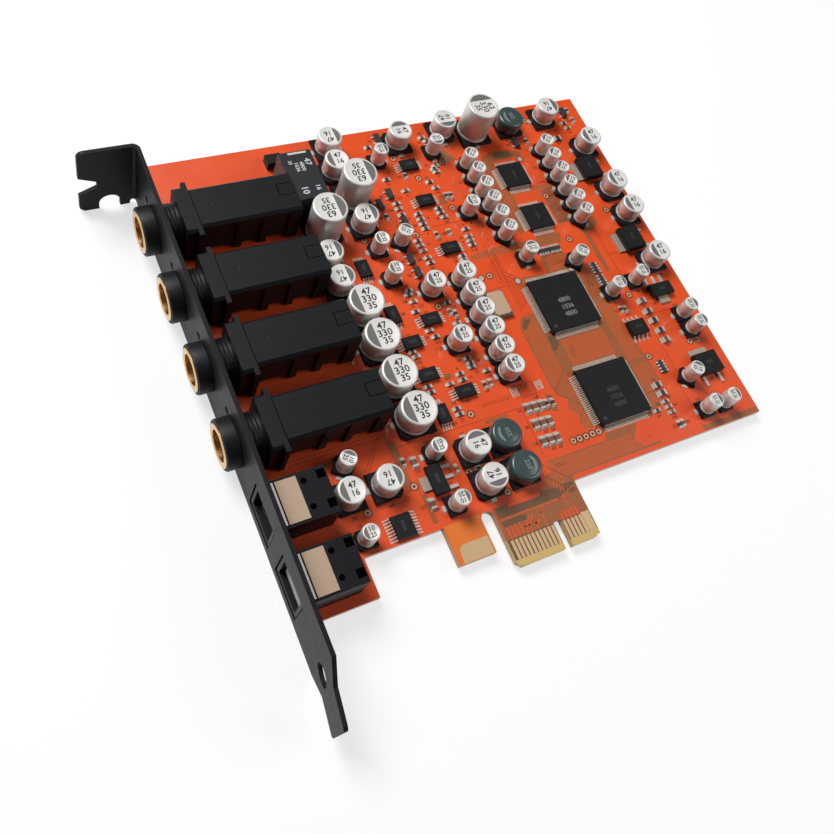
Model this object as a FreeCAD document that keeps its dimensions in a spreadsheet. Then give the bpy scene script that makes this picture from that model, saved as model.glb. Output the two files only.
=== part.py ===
import FreeCAD, Part
import math
import os

import Sketcher
from FreeCAD import Placement, Rotation, Vector

os.makedirs("parts", exist_ok=True)
doc = FreeCAD.newDocument("SoundCard")

# Sound card: x runs along the card from the key of its edge connector, y up the card from the
# end of the connector tongue, z out of the component face of the board, which is at z = 0.

SIZES = {
    # Circuit board
    "board_thick": 1.57,
    "board_right": 63.2,
    "board_top": 111.15,
    "board_edge": 12.65,
    "board_gap": 0.3,
    "arm_right": -41.7,
    "arm_bottom": 4.55,
    # Retention hook beside the tongue
    "hook_left": -24.1,
    "hook_right": -15.6,
    "hook_bottom": 4.5,
    "hook_slot_top": 12.9,
    # Edge connector tongue and its gold contacts
    "tongue_left": -12.6,
    "tongue_right": 8.15,
    "tongue_chamfer": 1.2,
    "key_wide": 1.9,
    "key_top": 8.25,
    "contact_pitch": 1.0,
    "contact_wide": 0.7,
    "contact_low": 1.5,
    "contact_high": 5.5,
    "contact_thick": 0.05,
    # Steel bracket, placed by its outer face
    "face_x": -58.4,
    "bracket_thick": 0.86,
    "bracket_low": -2.8,
    "bracket_wide": 18.42,
    "bracket_tip": -14.87,
    "foot_bend": -3.5,
    "foot_out": 1.45,
    "foot_shoulder": -7.8,
    "foot_low": 1.3,
    "foot_high": 11.5,
    "foot_round": 1.0,
    "foot_hole_y": -4.8,
    "foot_hole_z": 5.6,
    "foot_hole_radius": 2.3,
    "tab_under": 104.3,
    "tab_reach": 11.8,
    "tab_round": 1.5,
    "bend_radius": 0.75,
    "screw_x": -63.85,
    "screw_radius": 2.25,
    "screw_top": 1.2,
    "relief_x": -58.6,
    "relief_radius": 0.9,
    "relief_top": -1.3,
    "notch_low": 2.5,
    "notch_high": 8.1,
    "notch_in": 3.8,
    "notch_slope": 1.85,
    "jack_hole": 4.9,
    "key_hole": 0.9,
    "key_side": 5.1,
    "key_up": 3.4,
    "window_wide": 10.2,
    "window_low": -0.6,
    "window_high": 9.4,
    # Jack sockets, placed by the axis of the first
    "jack_first": 91.0,
    "jack_pitch": 16.67,
    "jack_axis": 5.0,
    "jack_wide": 10.0,
    "jack_top": 10.2,
    "jack_chamfer": 0.6,
    "jack_back": -27.5,
    "jack_front": -50.0,
    "jack_panel": 0.5,
    "jack_panel_top": 8.6,
    "jack_under": 1.2,
    "flange_front": -51.0,
    "flange_wide": 13.6,
    "flange_top": 10.0,
    "collar_front": -53.2,
    "collar_wide": 11.6,
    "thread_radius": 4.7,
    "thread_end": -61.2,
    "bore_radius": 3.3,
    "bore_end": -30.4,
    "sleeve_bore": 3.25,
    "sleeve_radius": 3.9,
    "sleeve_ring": 4.5,
    "sleeve_ring_thick": 0.4,
    "sleeve_back": -51.4,
    "sleeve_fit": 0.05,
    "nut_radius": 5.2,
    "nut_long": 3.0,
    "spring_thick": 0.3,
    "spring_wide": 2.0,
    "spring_peak": 2.3,
    "spring_reach": 5.2,
    "tail_out": 1.2,
    "slot_play": 0.15,
    "tip_tail": -33.2,
    "ring_tail": -41.6,
    "lug_x": -52.2,
    # Optical sockets, placed by the axis of the first
    "light_first": 25.5,
    "light_pitch": 14.0,
    "light_wide": 9.6,
    "light_top": 8.6,
    "light_front": -58.2,
    "light_back": -45.0,
    "mouth_wide": 8.0,
    "mouth_low": 0.8,
    "mouth_high": 8.0,
    "mouth_end": -49.4,
    "light_hole": 1.2,
    "diode_front": -48.5,
    "diode_back": -45.9,
    "diode_wide": 5.0,
    "diode_top": 6.9,
    "diode_play": 0.1,
    "shield_thick": 0.25,
    "shield_wide": 8.5,
    "shield_front": -55.9,
    "shield_back": -50.9,
    "hinge_x": -56.7,
    "hinge_z": 7.3,
    "pin_radius": 0.45,
    "pin_play": 0.05,
    "pin_deep": 0.5,
    "shutter_thick": 0.8,
    "shutter_gap": 0.3,
    # Relay
    "relay_left": -27.2,
    "relay_right": -19.5,
    "relay_low": 89.3,
    "relay_high": 102.3,
    "relay_lift": 0.3,
    "relay_top": 8.3,
    "pin_pitch": 2.54,
    # Can capacitors
    "base_top": 1.1,
    "tall_radius": 4.0,
    "tall_base": 8.3,
    "tall_top": 10.4,
    "low_radius": 4.0,
    "low_base": 8.3,
    "low_top": 6.5,
    "medium_radius": 3.15,
    "medium_base": 6.6,
    "small_radius": 2.4,
    "small_base": 4.95,
    "tiny_radius": 2.0,
    "tiny_base": 4.2,
    "short_top": 5.6,
    "column_first": 95.6,
    "column_pitch": 4.4,
    "row_first": 64.9,
    "row_pitch": 5.0,
    # Chips and their leads
    "chip_lift": 0.1,
    "lead_high": 0.8,
    "large_side": 14.0,
    "large_top": 1.5,
    "middle_side": 7.0,
    "middle_top": 1.3,
    "eight_long": 3.0,
    "eight_across": 4.4,
    "eight_top": 1.3,
    "fine_pitch": 0.65,
    "fine_lead": 0.3,
    "coarse_pitch": 1.27,
    "coarse_lead": 0.45,
    "lead_out": 1.0,
    # Power parts
    "choke_radius": 3.5,
    "choke_base": 6.8,
    "choke_foot": 0.9,
    "choke_top": 4.5,
    "crystal_wide": 5.0,
    "crystal_long": 7.0,
    "crystal_foot": 1.0,
    "crystal_top": 1.6,
    "crystal_rim": 0.4,
    "power_long": 5.5,
    "power_wide": 6.5,
    "power_top": 2.3,
    "power_tab": 0.5,
    "chip_small_long": 1.6,
    "chip_small_wide": 0.8,
    "chip_small_high": 0.5,
    "chip_big_long": 2.1,
    "chip_big_wide": 1.3,
    "chip_big_high": 0.7,
    "array_long": 3.2,
    "array_wide": 1.6,
}

sheet = doc.addObject("Spreadsheet::Sheet", "Sizes")
for row, (alias, number) in enumerate(SIZES.items(), start=1):
    sheet.set("A%d" % row, alias)
    sheet.set("B%d" % row, str(number))
    sheet.setAlias("B%d" % row, alias)
doc.recompute()


class Size:
    """A length in millimetres with the sheet expression that gives it."""

    def __init__(self, value, text):
        self.value = value
        self.text = text

    def joined(self, other, sign, value):
        return Size(value, "(%s %s %s)" % (self.text, sign, other.text))

    def __add__(self, other):
        other = size(other)
        return self.joined(other, "+", self.value + other.value)

    def __radd__(self, other):
        return size(other) + self

    def __sub__(self, other):
        other = size(other)
        return self.joined(other, "-", self.value - other.value)

    def __rsub__(self, other):
        return size(other) - self

    def __mul__(self, other):
        other = size(other)
        return self.joined(other, "*", self.value * other.value)

    def __rmul__(self, other):
        return size(other) * self

    def __truediv__(self, other):
        other = size(other)
        return self.joined(other, "/", self.value / other.value)

    def __neg__(self):
        return 0 - self


def size(amount):
    """A sheet name or a plain number as a Size."""
    if isinstance(amount, Size):
        return amount
    if isinstance(amount, str):
        return Size(SIZES[amount], "Sizes." + amount)
    return Size(amount, "(%.4f)" % amount)


def sizes(names):
    return [size(name) for name in names.split()]


def bind(item, prop, amount):
    item.setExpression(prop, size(amount).text)


def place(item, start):
    for letter, amount in zip("xyz", start):
        bind(item, "Placement.Base." + letter, amount)


# Helpers that draw sketches and make solids

def draw(sketch, loop):
    """Add a closed loop. A corner (x, y) is reached by a line, and a corner
    (x, y, centre x, centre y, "left" or "right") by an arc turning that way."""
    limits = []
    first = sketch.GeometryCount
    ends = []
    for index, corner in enumerate(loop):
        before = [size(amount).value for amount in loop[index - 1][:2]]
        here = [size(amount).value for amount in corner[:2]]
        geometry = first + index
        if len(corner) == 2:
            sketch.addGeometry(Part.LineSegment(Vector(*before, 0), Vector(*here, 0)))
            ends.append((1, 2))
        else:
            centre = [size(amount).value for amount in corner[2:4]]
            start, stop = (before, here) if corner[4] == "left" else (here, before)
            arms = [Vector(point[0] - centre[0], point[1] - centre[1], 0) for point in (start, stop)]
            circle = Part.Circle(Vector(*centre, 0), Vector(0, 0, 1), arms[0].Length)
            angles = [circle.parameter(Vector(*centre, 0) + arm) for arm in arms]
            sketch.addGeometry(Part.ArcOfCircle(circle, *angles))
            ends.append((1, 2) if corner[4] == "left" else (2, 1))
            flat = abs(here[0] - before[0]) > abs(here[1] - before[1])
            way, amount = ("DistanceY", corner[3]) if flat else ("DistanceX", corner[2])
            limits.append((way, geometry, 3, amount))
        limits.append(("DistanceX", geometry, ends[index][1], corner[0]))
        limits.append(("DistanceY", geometry, ends[index][1], corner[1]))
    joins = []
    for index in range(len(loop)):
        last = index - 1 if index else len(loop) - 1
        joins.append(Sketcher.Constraint(
            "Coincident", first + last, ends[last][1], first + index, ends[index][0]))
    sketch.addConstraint(joins)
    add_limits(sketch, limits)


def draw_circle(sketch, radius, x, y):
    x, y, radius = size(x), size(y), size(radius)
    circle = Part.Circle(Vector(x.value, y.value, 0), Vector(0, 0, 1), radius.value)
    index = sketch.addGeometry(circle)
    add_limits(sketch, [("DistanceX", index, 3, x), ("DistanceY", index, 3, y)])
    number = sketch.addConstraint(Sketcher.Constraint("Radius", index, radius.value))
    bind(sketch, "Constraints[%d]" % number, radius)


def add_limits(sketch, limits):
    """Hold points of a sketch at distances from its origin."""
    first = sketch.ConstraintCount
    sketch.addConstraint([
        Sketcher.Constraint(way, -1, 1, geometry, point, size(amount).value)
        for way, geometry, point, amount in limits
    ])
    for number, (way, geometry, point, amount) in enumerate(limits, start=first):
        if isinstance(amount, (Size, str)):
            bind(sketch, "Constraints[%d]" % number, amount)


PLANES = {"xy": ("XY_Plane", 1), "xz": ("XZ_Plane", -1), "yz": ("YZ_Plane", 1)}


def plate(name, plane, start, stop, loops):
    """Body padded from start to stop across a plane, with loops drawn on it."""
    role, side = PLANES[plane]
    body = doc.addObject("PartDesign::Body", name)
    body.Label = name
    support = [item for item in body.Origin.OriginFeatures if item.Role == role][0]
    sketch = body.newObject("Sketcher::SketchObject", name + "_sketch")
    sketch.AttachmentSupport = [(support, "")]
    sketch.MapMode = "FlatFace"
    bind(sketch, "AttachmentOffset.Base.z", size(start) * side)
    for loop in loops:
        if len(loop) == 3 and not isinstance(loop[0], (tuple, list)):
            draw_circle(sketch, *loop)
        else:
            draw(sketch, loop)
    pad = body.newObject("PartDesign::Pad", name + "_pad")
    pad.Profile = sketch
    pad.Reversed = side < 0
    bind(pad, "Length", size(stop) - start)
    return body


def rectangle(x, y):
    """Corners of a rectangle between a pair of x and a pair of y."""
    return [(x[0], y[0]), (x[1], y[0]), (x[1], y[1]), (x[0], y[1])]


def block(name, x, y, z):
    """Box between a pair of x, of y and of z."""
    box = doc.addObject("Part::Box", name)
    for prop, (low, high) in zip(("Length", "Width", "Height"), (x, y, z)):
        bind(box, prop, size(high) - low)
    place(box, (x[0], y[0], z[0]))
    return box


TURNS = {
    "x": Rotation(Vector(0, 1, 0), 90),
    "y": Rotation(Vector(1, 0, 0), -90),
    "z": Rotation(),
}


def rod(name, axis, radius, start, stop, across):
    """Round bar along an axis from start to stop, with its other two places in across."""
    bar = doc.addObject("Part::Cylinder", name)
    bar.Placement = Placement(Vector(), TURNS[axis])
    bind(bar, "Radius", radius)
    bind(bar, "Height", size(stop) - start)
    spot = list(across)
    spot.insert("xyz".index(axis), start)
    place(bar, spot)
    return bar


def facet_rod(name, axis, radius, start, stop, across, sides, hole=False):
    """Rod with flat sides, its corners on the radius. A hole has its flats on the radius."""
    bar = doc.addObject("Part::Prism", name)
    bar.Placement = Placement(Vector(), TURNS[axis])
    bar.Polygon = round(sides)
    bind(bar, "Circumradius", size(radius) / math.cos(math.pi / round(sides)) if hole else radius)
    bind(bar, "Height", size(stop) - start)
    spot = list(across)
    spot.insert("xyz".index(axis), start)
    place(bar, spot)
    return bar


def cut(name, solid, tools):
    """Solid with one tool or the union of several taken away."""
    result = doc.addObject("Part::Cut", name)
    result.Base = solid
    result.Tool = tools[0] if len(tools) == 1 else fuse(name + "_tools", tools)
    return result


def fuse(name, solids):
    result = doc.addObject("Part::MultiFuse", name)
    result.Shapes = solids
    result.Refine = True
    return result


def group(name, solids):
    result = doc.addObject("Part::Compound", name)
    result.Links = solids
    return result


nodes = {}


def node(name, item):
    """Keep an object as a finished piece of the card."""
    item.Label = name
    nodes[name] = item


# Places shared by several pieces

face, steel = sizes("face_x bracket_thick")
inner_face = face + steel
board_left = inner_face + "board_gap"
board_under = -size("board_thick")
jack_lines = [size("jack_first") - size("jack_pitch") * index for index in range(4)]
light_lines = [size("light_first") - size("light_pitch") * index for index in range(2)]
tail_end = board_under - "tail_out"
half_spring = size("spring_wide") / 2
lug_back = size("lug_x") + "spring_thick"

# Circuit board with the tongue, the hook and a slot for every jack tail

slot_centre = (size("hook_right") + "tongue_left") / 2
slot_turn = size("hook_slot_top") - (size("tongue_left") - "hook_right") / 2
key_half = size("key_wide") / 2
key_turn = size("key_top") - key_half
corner = size("tongue_chamfer")
outline = [
    (board_left, "arm_bottom"),
    ("arm_right", "arm_bottom"),
    ("arm_right", "board_edge"),
    ("hook_left", "board_edge"),
    ("hook_left", "hook_bottom"),
    ("hook_right", "hook_bottom"),
    ("hook_right", slot_turn),
    ("tongue_left", slot_turn, slot_centre, slot_turn, "right"),
    ("tongue_left", corner),
    (size("tongue_left") + corner, 0),
    (-key_half, 0),
    (-key_half, key_turn),
    (key_half, key_turn, 0, key_turn, "right"),
    (key_half, 0),
    (size("tongue_right") - corner, 0),
    ("tongue_right", corner),
    ("tongue_right", "board_edge"),
    ("board_right", "board_edge"),
    ("board_right", "board_top"),
    (board_left, "board_top"),
]
play = size("slot_play")
slots = []
for line in jack_lines:
    for tail in sizes("tip_tail ring_tail lug_x"):
        slots.append(rectangle(
            (tail - play, tail + "spring_thick" + play),
            (line - half_spring - play, line + half_spring + play)))
node("circuit_board", plate("circuit_board", "xy", board_under, 0, [outline] + slots))

contacts = []
thick = size("contact_thick")
for step in list(range(-11, 0)) + list(range(2, 9)):
    middle = size("contact_pitch") * (step - 0.5)
    sides = (middle - size("contact_wide") / 2, middle + size("contact_wide") / 2)
    for z in ((0, thick), (board_under - thick, board_under)):
        contacts.append(block("contact", sides, ("contact_low", "contact_high"), z))
node("edge_contacts", group("edge_contacts", contacts))

# Bracket, bent from one sheet and then pierced

low = size("bracket_low")
high = low + "bracket_wide"
tab_top = size("tab_under") + steel
bend = size("bend_radius")
outer_bend = bend + steel
tab_end = face - "tab_reach"
foot = face - "foot_out"
profile = [
    (foot, "bracket_tip"),
    (foot + steel, "bracket_tip"),
    (inner_face, "foot_bend"),
    (inner_face, tab_top - outer_bend),
    (inner_face - outer_bend, tab_top, inner_face - outer_bend, tab_top - outer_bend, "left"),
    (tab_end, tab_top),
    (tab_end, "tab_under"),
    (face - bend, "tab_under"),
    (face, size("tab_under") - bend, face - bend, size("tab_under") - bend, "right"),
    (face, "foot_bend"),
]
sheet_metal = plate("bracket_sheet", "xy", low, high, [profile])

tip = size("bracket_tip")
turn = size("foot_round")
foot_low, foot_high = sizes("foot_low foot_high")
beside_foot = [
    plate("beside_foot_low", "yz", foot - 1, inner_face + 1, [[
        ("foot_bend", low - 1),
        ("foot_bend", low),
        ("foot_shoulder", foot_low),
        (tip + turn, foot_low),
        (tip, foot_low + turn, tip + turn, foot_low + turn, "right"),
        (tip - 1, foot_low + turn),
        (tip - 1, low - 1),
    ]]),
    plate("beside_foot_high", "yz", foot - 1, inner_face + 1, [[
        ("foot_bend", high + 1),
        (tip - 1, high + 1),
        (tip - 1, foot_high - turn),
        (tip, foot_high - turn),
        (tip + turn, foot_high, tip + turn, foot_high - turn, "right"),
        ("foot_shoulder", foot_high),
        ("foot_bend", high),
    ]]),
]

screw, screw_r, relief, relief_r = sizes("screw_x screw_radius relief_x relief_radius")
screw_turn = size("screw_top") - screw_r
relief_turn = size("relief_top") - relief_r
round_tab = size("tab_round")
notch_low, notch_high, slope = sizes("notch_low notch_high notch_slope")
notch_end = tab_end + "notch_in"
tab_cuts = [
    [
        (screw - screw_r, low - 1),
        (screw + screw_r, low - 1),
        (screw + screw_r, screw_turn),
        (screw - screw_r, screw_turn, screw, screw_turn, "left"),
    ],
    [
        (relief - relief_r, low - 1),
        (relief + relief_r, low - 1),
        (relief + relief_r, relief_turn),
        (relief - relief_r, relief_turn, relief, relief_turn, "left"),
    ],
    [
        (tab_end - 1, notch_low),
        (tab_end, notch_low),
        (notch_end, notch_low + slope),
        (notch_end, notch_high - slope),
        (tab_end, notch_high),
        (tab_end - 1, notch_high),
    ],
    [
        (tab_end - 1, high - round_tab),
        (tab_end, high - round_tab),
        (tab_end + round_tab, high, tab_end + round_tab, high - round_tab, "right"),
        (tab_end + round_tab, high + 1),
        (tab_end - 1, high + 1),
    ],
    [
        (tab_end - 1, low - 1),
        (tab_end + 1, low - 1),
        (tab_end + 1, low),
        (tab_end, low + 1),
        (tab_end - 1, low + 1),
    ],
]
through_tab = [
    plate("tab_cut_%d" % number, "xz", size("tab_under") - 2, tab_top + 1, [loop])
    for number, loop in enumerate(tab_cuts, start=1)
]

axis, key_up, key_side = sizes("jack_axis key_up key_side")
holes = [rod("foot_hole", "x", "foot_hole_radius", foot - 1, inner_face + 1,
             ("foot_hole_y", "foot_hole_z"))]
for line in jack_lines:
    holes.append(facet_rod("jack_hole", "x", "jack_hole", face - 1, inner_face + 1, (line, axis),
                           24, hole=True))
    holes.append(facet_rod("key_hole", "x", "key_hole", face - 1, inner_face + 1,
                           (line + key_side, axis + key_up), 12))
half_window = size("window_wide") / 2
for line in light_lines:
    holes.append(block("window", (face - 1, inner_face + 1), (line - half_window, line + half_window),
                       ("window_low", "window_high")))
node("bracket", cut("bracket", sheet_metal, beside_foot + through_tab + holes))

# Jack sockets

half_jack, half_collar, half_flange = [size(name) / 2 for name in ("jack_wide", "collar_wide", "flange_wide")]
back, front, collar, flange = sizes("jack_back jack_front collar_front flange_front")
jack_top, chamfer = sizes("jack_top jack_chamfer")
thread_end, bore_end = sizes("thread_end bore_end")
tube_hole = size("sleeve_radius") + "sleeve_fit"
sleeve_back = size("sleeve_back")
PANELS = ((0.06, 0.35), (0.42, 0.6), (0.67, 0.88))


def shell(name, start, stop, half, line):
    """Length of jack housing with both upper edges chamfered."""
    return plate(name, "yz", start, stop, [[
        (line - half, 0),
        (line + half, 0),
        (line + half, jack_top - chamfer),
        (line + half - chamfer, jack_top),
        (line - half + chamfer, jack_top),
        (line - half, jack_top - chamfer),
    ]])


def spring(name, tail, line):
    """Bent contact strip that stands in the board and presses up into the bore."""
    thick, peak, reach = sizes("spring_thick spring_peak spring_reach")
    crest = tail - reach * 0.65
    return plate(name, "xz", line - half_spring, line + half_spring, [[
        (tail + thick, tail_end),
        (tail + thick, 1.0),
        (crest, peak),
        (tail - reach, peak - 1.1),
        (tail - reach, peak - 1.45),
        (crest, peak - 0.35),
        (tail, 0.7),
        (tail, tail_end),
    ]])


sleeves, nuts, tip_springs, ring_springs, lugs = [], [], [], [], []
for number, line in enumerate(jack_lines, start=1):
    nose = facet_rod("jack_nose", "x", "thread_radius", thread_end, collar, (line, axis), 24)
    openings = [
        facet_rod("sleeve_hole", "x", tube_hole, thread_end - 1, sleeve_back + 0.1, (line, axis),
                  24, hole=True),
        facet_rod("plug_hole", "x", "bore_radius", sleeve_back, bore_end, (line, axis), 12, hole=True),
        block("lug_hole", (size("lug_x") - play, lug_back + play),
              (line - half_spring - play, line + half_spring + play), (-1, 1.3)),
    ]
    for first, last in PANELS:
        span = (front + (back - front) * first, front + (back - front) * last)
        for side in (-1, 1):
            wall, foot_in, out = [line + side * (half_jack - depth) for depth in ("jack_panel", 1.6, -1)]
            openings.append(block("panel", span, (wall, out) if side > 0 else (out, wall),
                                  (-1, "jack_panel_top")))
            openings.append(block("under", span, (foot_in, out) if side > 0 else (out, foot_in),
                                  (-1, "jack_under")))
    for tail in sizes("tip_tail ring_tail"):
        openings.append(block(
            "spring_room", (tail - "spring_reach" - 0.4, tail + "spring_thick" + 0.4),
            (line - half_spring - 0.4, line + half_spring + 0.4), (-1, 2.6)))
    body = fuse("jack_body_%d" % number, [
        shell("jack_shell_%d" % number, front, back, half_jack, line),
        shell("jack_collar_%d" % number, collar, flange, half_collar, line),
        block("jack_flange", (flange, front), (line - half_flange, line + half_flange),
              (0, "flange_top")),
        nose,
    ])
    node("jack_housing_%d" % number, cut("jack_housing_%d" % number, body, openings))
    ring_front = thread_end - "sleeve_ring_thick"
    tube = fuse("sleeve_stock", [
        facet_rod("sleeve_tube", "x", "sleeve_radius", ring_front, sleeve_back, (line, axis), 16),
        facet_rod("sleeve_ring", "x", "sleeve_ring", ring_front, thread_end, (line, axis), 16),
    ])
    sleeves.append(cut("jack_sleeve", tube, [
        rod("sleeve_bore", "x", "sleeve_bore", ring_front - 1, sleeve_back + 1, (line, axis))]))
    nut = facet_rod("nut_stock", "x", "nut_radius", face - "nut_long", face, (line, axis), 16)
    nuts.append(cut("jack_nut", nut, [
        facet_rod("nut_hole", "x", size("thread_radius") + "sleeve_fit", face - "nut_long" - 1,
                  face + 1, (line, axis), 24, hole=True)]))
    tip_springs.append(spring("tip_spring_%d" % number, size("tip_tail"), line))
    ring_springs.append(spring("ring_spring_%d" % number, size("ring_tail"), line))
    lugs.append(block("lug", ("lug_x", lug_back), (line - half_spring, line + half_spring),
                      (tail_end, axis - "sleeve_radius")))
node("jack_sleeves", group("jack_sleeves", sleeves))
node("jack_nuts", group("jack_nuts", nuts))
node("jack_tip_springs", group("jack_tip_springs", tip_springs))
node("jack_ring_springs", group("jack_ring_springs", ring_springs))
node("jack_ground_lugs", group("jack_ground_lugs", lugs))

# Optical sockets with a sprung shutter in each mouth

half_light, light_top, light_front, light_back = sizes("light_wide light_top light_front light_back")
half_light = half_light / 2
half_mouth = size("mouth_wide") / 2
mouth_low, mouth_high, mouth_end = sizes("mouth_low mouth_high mouth_end")
hinge_x, hinge_z, pin, pin_play = sizes("hinge_x hinge_z pin_radius pin_play")
diode_front, diode_back, diode_play = sizes("diode_front diode_back diode_play")
half_diode = size("diode_wide") / 2
half_shutter = size("shutter_thick") / 2
gap = size("shutter_gap")
shield = size("shield_thick")
pin_reach = half_mouth + "pin_deep"
diodes, diode_leads = [], []
for number, line in enumerate(light_lines, start=1):
    hollow = [
        block("mouth", (light_front - 1, mouth_end), (line - half_mouth, line + half_mouth),
              (mouth_low, mouth_high)),
        facet_rod("light_hole", "x", "light_hole", mouth_end - 0.5, diode_front,
                  (line, (mouth_low + mouth_high) / 2), 12),
        block("diode_room", (diode_front - diode_play, diode_back + diode_play),
              (line - half_diode - diode_play, line + half_diode + diode_play),
              (-1, size("diode_top") + diode_play)),
        rod("hinge_hole", "y", pin + pin_play, line - pin_reach - 0.1, line + pin_reach + 0.1,
            (hinge_x, hinge_z)),
    ]
    for side, shift in ((1, 2.9), (-1, 2.3)):
        hollow.append(facet_rod("round_mark", "z", 0.65, light_top - 0.4, light_top + 1,
                                (-49.7, line + side * shift), 8))
        middle = line + side * (shift + 0.4)
        hollow.append(block("square_mark", (-46.9, -45.2), (middle - 0.9, middle + 0.9),
                            (light_top - 0.8, light_top + 1)))
    stock = block("light_stock", (light_front, light_back), (line - half_light, line + half_light),
                  (0, light_top))
    node("optical_housing_%d" % number, cut("optical_housing_%d" % number, stock, hollow))
    half_shield = size("shield_wide") / 2
    shield_x, shield_end = sizes("shield_front shield_back")
    node("optical_shield_%d" % number, plate(
        "optical_shield_%d" % number, "xz", line - half_shield, line + half_shield, [[
            (shield_x, light_top),
            (shield_end, light_top),
            (shield_end, light_top + shield),
            (shield_x + 0.8, light_top + shield),
            (shield_x + 0.8, light_top + 0.1),
            (shield_x + 0.5, light_top + 0.1),
            (shield_x + 0.5, light_top + shield),
            (shield_x, light_top + shield),
        ]]))
    leaf = block("shutter_leaf", (hinge_x - half_shutter, hinge_x + half_shutter),
                 (line - half_mouth + gap, line + half_mouth - gap), (mouth_low + gap, hinge_z))
    axle = rod("shutter_axle", "y", pin, line - pin_reach, line + pin_reach, (hinge_x, hinge_z))
    node("optical_shutter_%d" % number, fuse("optical_shutter_%d" % number, [leaf, axle]))
    diodes.append(block("diode_case", (diode_front, diode_back), (line - half_diode, line + half_diode),
                        (0.4, "diode_top")))
    for side in (-1, 0, 1):
        middle = line + side * 1.27
        diode_leads.append(block("diode_lead", (-47.4, -47.0), (middle - 0.25, middle + 0.25), (0, 0.4)))
node("optical_diodes", group("optical_diodes", diodes))
node("optical_diode_leads", group("optical_diode_leads", diode_leads))

# Relay and the diode above it

relay_x, relay_y = sizes("relay_left relay_right"), sizes("relay_low relay_high")
node("relay_case", block("relay_case", relay_x, relay_y, ("relay_lift", "relay_top")))
relay_middle = (relay_y[0] + relay_y[1]) / 2
relay_pins = []
for x in ((relay_x[0] - 0.1, relay_x[0] + 1.2), (relay_x[1] - 0.6, relay_x[1] + 0.8)):
    for step in (-2, -1, 0, 1, 2):
        middle = relay_middle + size("pin_pitch") * step * 0.95
        relay_pins.append(block("relay_pin", x, (middle - 0.35, middle + 0.35), (0, "relay_lift")))
node("relay_pins", group("relay_pins", relay_pins))
node("diode", block("diode", (-27.7, -24.0), (104.7, 107.3), (0.1, 2.3)))

# Can capacitors, each a can on its foot: sides of the can, sizes and places

column = [size("column_first") - size("column_pitch") * step for step in range(6)]
row = [size("row_first") - size("row_pitch") * step for step in range(6)]
CANS = {
    "tall": (18, "tall_radius", "tall_base", "tall_top", [(-11.2, 92.4), (-21.7, 84.8), (28.0, 105.2)]),
    "low": (18, "low_radius", "low_base", "low_top", [
        (-21.2, 62.9), (-21.2, 54.2), (-21.2, 45.1), (-20.7, 36.2)]),
    "medium": (14, "medium_radius", "medium_base", "short_top", [
        (-11.7, 107.2), (-12.6, 100.5), (-11.7, 84.5), (6.5, 105.8), (19.6, 106.9), (50.4, 105.8),
        (57.7, 94.4), (57.9, 80.2), (58.2, 72.0), (57.5, 57.6), (-23.6, 77.1), (-23.6, 70.4),
        (-40.5, 24.6), (-32.2, 24.6), (-11.4, 25.7), (-11.2, 18.1)]),
    "small": (10, "small_radius", "small_base", "short_top", [
        (-3.1, 64.3), (-3.2, 49.9)] + [(5.1, y) for y in row]),
    "tiny": (8, "tiny_radius", "tiny_base", "short_top",
             [(21.7, y) for y in column] + [(44.4, y) for y in column] + [
        (-0.7, 101.3), (14.6, 101.4), (15.6, 82.3), (24.1, 66.6), (36.6, 62.6), (-4.5, 78.2),
        (-10.9, 77.4), (-11.0, 69.3), (49.6, 53.5), (41.6, 52.1), (57.4, 41.7), (57.3, 37.1),
        (48.8, 26.1), (48.7, 17.5), (54.2, 17.4), (-38.6, 30.9), (-19.7, 27.7), (-19.8, 16.1),
        (-40.2, 15.7)]),
}
base_top = size("base_top")
for kind, (sides, radius, base, top, spots) in CANS.items():
    half = size(base) / 2
    cans, bases = [], []
    for x, y in spots:
        x, y = size(x), size(y)
        cans.append(facet_rod("can", "z", radius, base_top, top, (x, y), sides))
        bases.append(block("base", (x - half, x + half), (y - half, y + half), (0, base_top)))
    node("capacitor_cans_" + kind, group("capacitor_cans_" + kind, cans))
    node("capacitor_bases_" + kind, group("capacitor_bases_" + kind, bases))

# Chips, and leads on two sides of the smaller ones. The letter is the way these leads point.

lift, lead_high, lead_out = sizes("chip_lift lead_high lead_out")


def chip(name, x, y, wide, tall, top):
    wide, tall = size(wide) / 2, size(tall) / 2
    return block(name, (x - wide, x + wide), (y - tall, y + tall), (lift, top))


def lead_row(x, y, half, count, pitch, wide, way):
    """Leads on both sides of a chip, standing out along x or y."""
    pitch, wide = size(pitch), size(wide) / 2
    leads = []
    for step in range(count):
        middle = pitch * (step - (count - 1) / 2)
        for near, far in ((-half - lead_out, -half), (half, half + lead_out)):
            if way == "x":
                spans = (x + near, x + far), (y + middle - wide, y + middle + wide)
            else:
                spans = (x + middle - wide, x + middle + wide), (y + near, y + far)
            leads.append(block("lead", *spans, (0, 0.25)))
    return leads


LARGE = [(27.7, 52.9), (27.6, 28.5)]
MIDDLE = [(33.1, 90.0), (33.2, 76.9)]
EIGHT = [
    (6.8, 98.6, "x"), (6.5, 87.8, "x"), (6.7, 73.7, "x"), (-6.3, 57.2, "x"), (-13.1, 52.9, "x"),
    (-12.9, 44.7, "x"), (-6.4, 38.7, "x"), (-16.2, 73.3, "y"), (-14.5, 60.4, "y"), (-13.8, 35.3, "y"),
]
node("chips_large", group("chips_large", [
    chip("chip", x, y, "large_side", "large_side", "large_top") for x, y in LARGE]))
node("chips_middle", group("chips_middle", [
    chip("chip", x, y, "middle_side", "middle_side", "middle_top") for x, y in MIDDLE]))
eights, leads = [], []
for x, y, way in EIGHT:
    spans = ("eight_across", "eight_long") if way == "x" else ("eight_long", "eight_across")
    eights.append(chip("chip", x, y, *spans, "eight_top"))
    leads += lead_row(x, y, size("eight_across") / 2, 4, "fine_pitch", "fine_lead", way)
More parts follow.
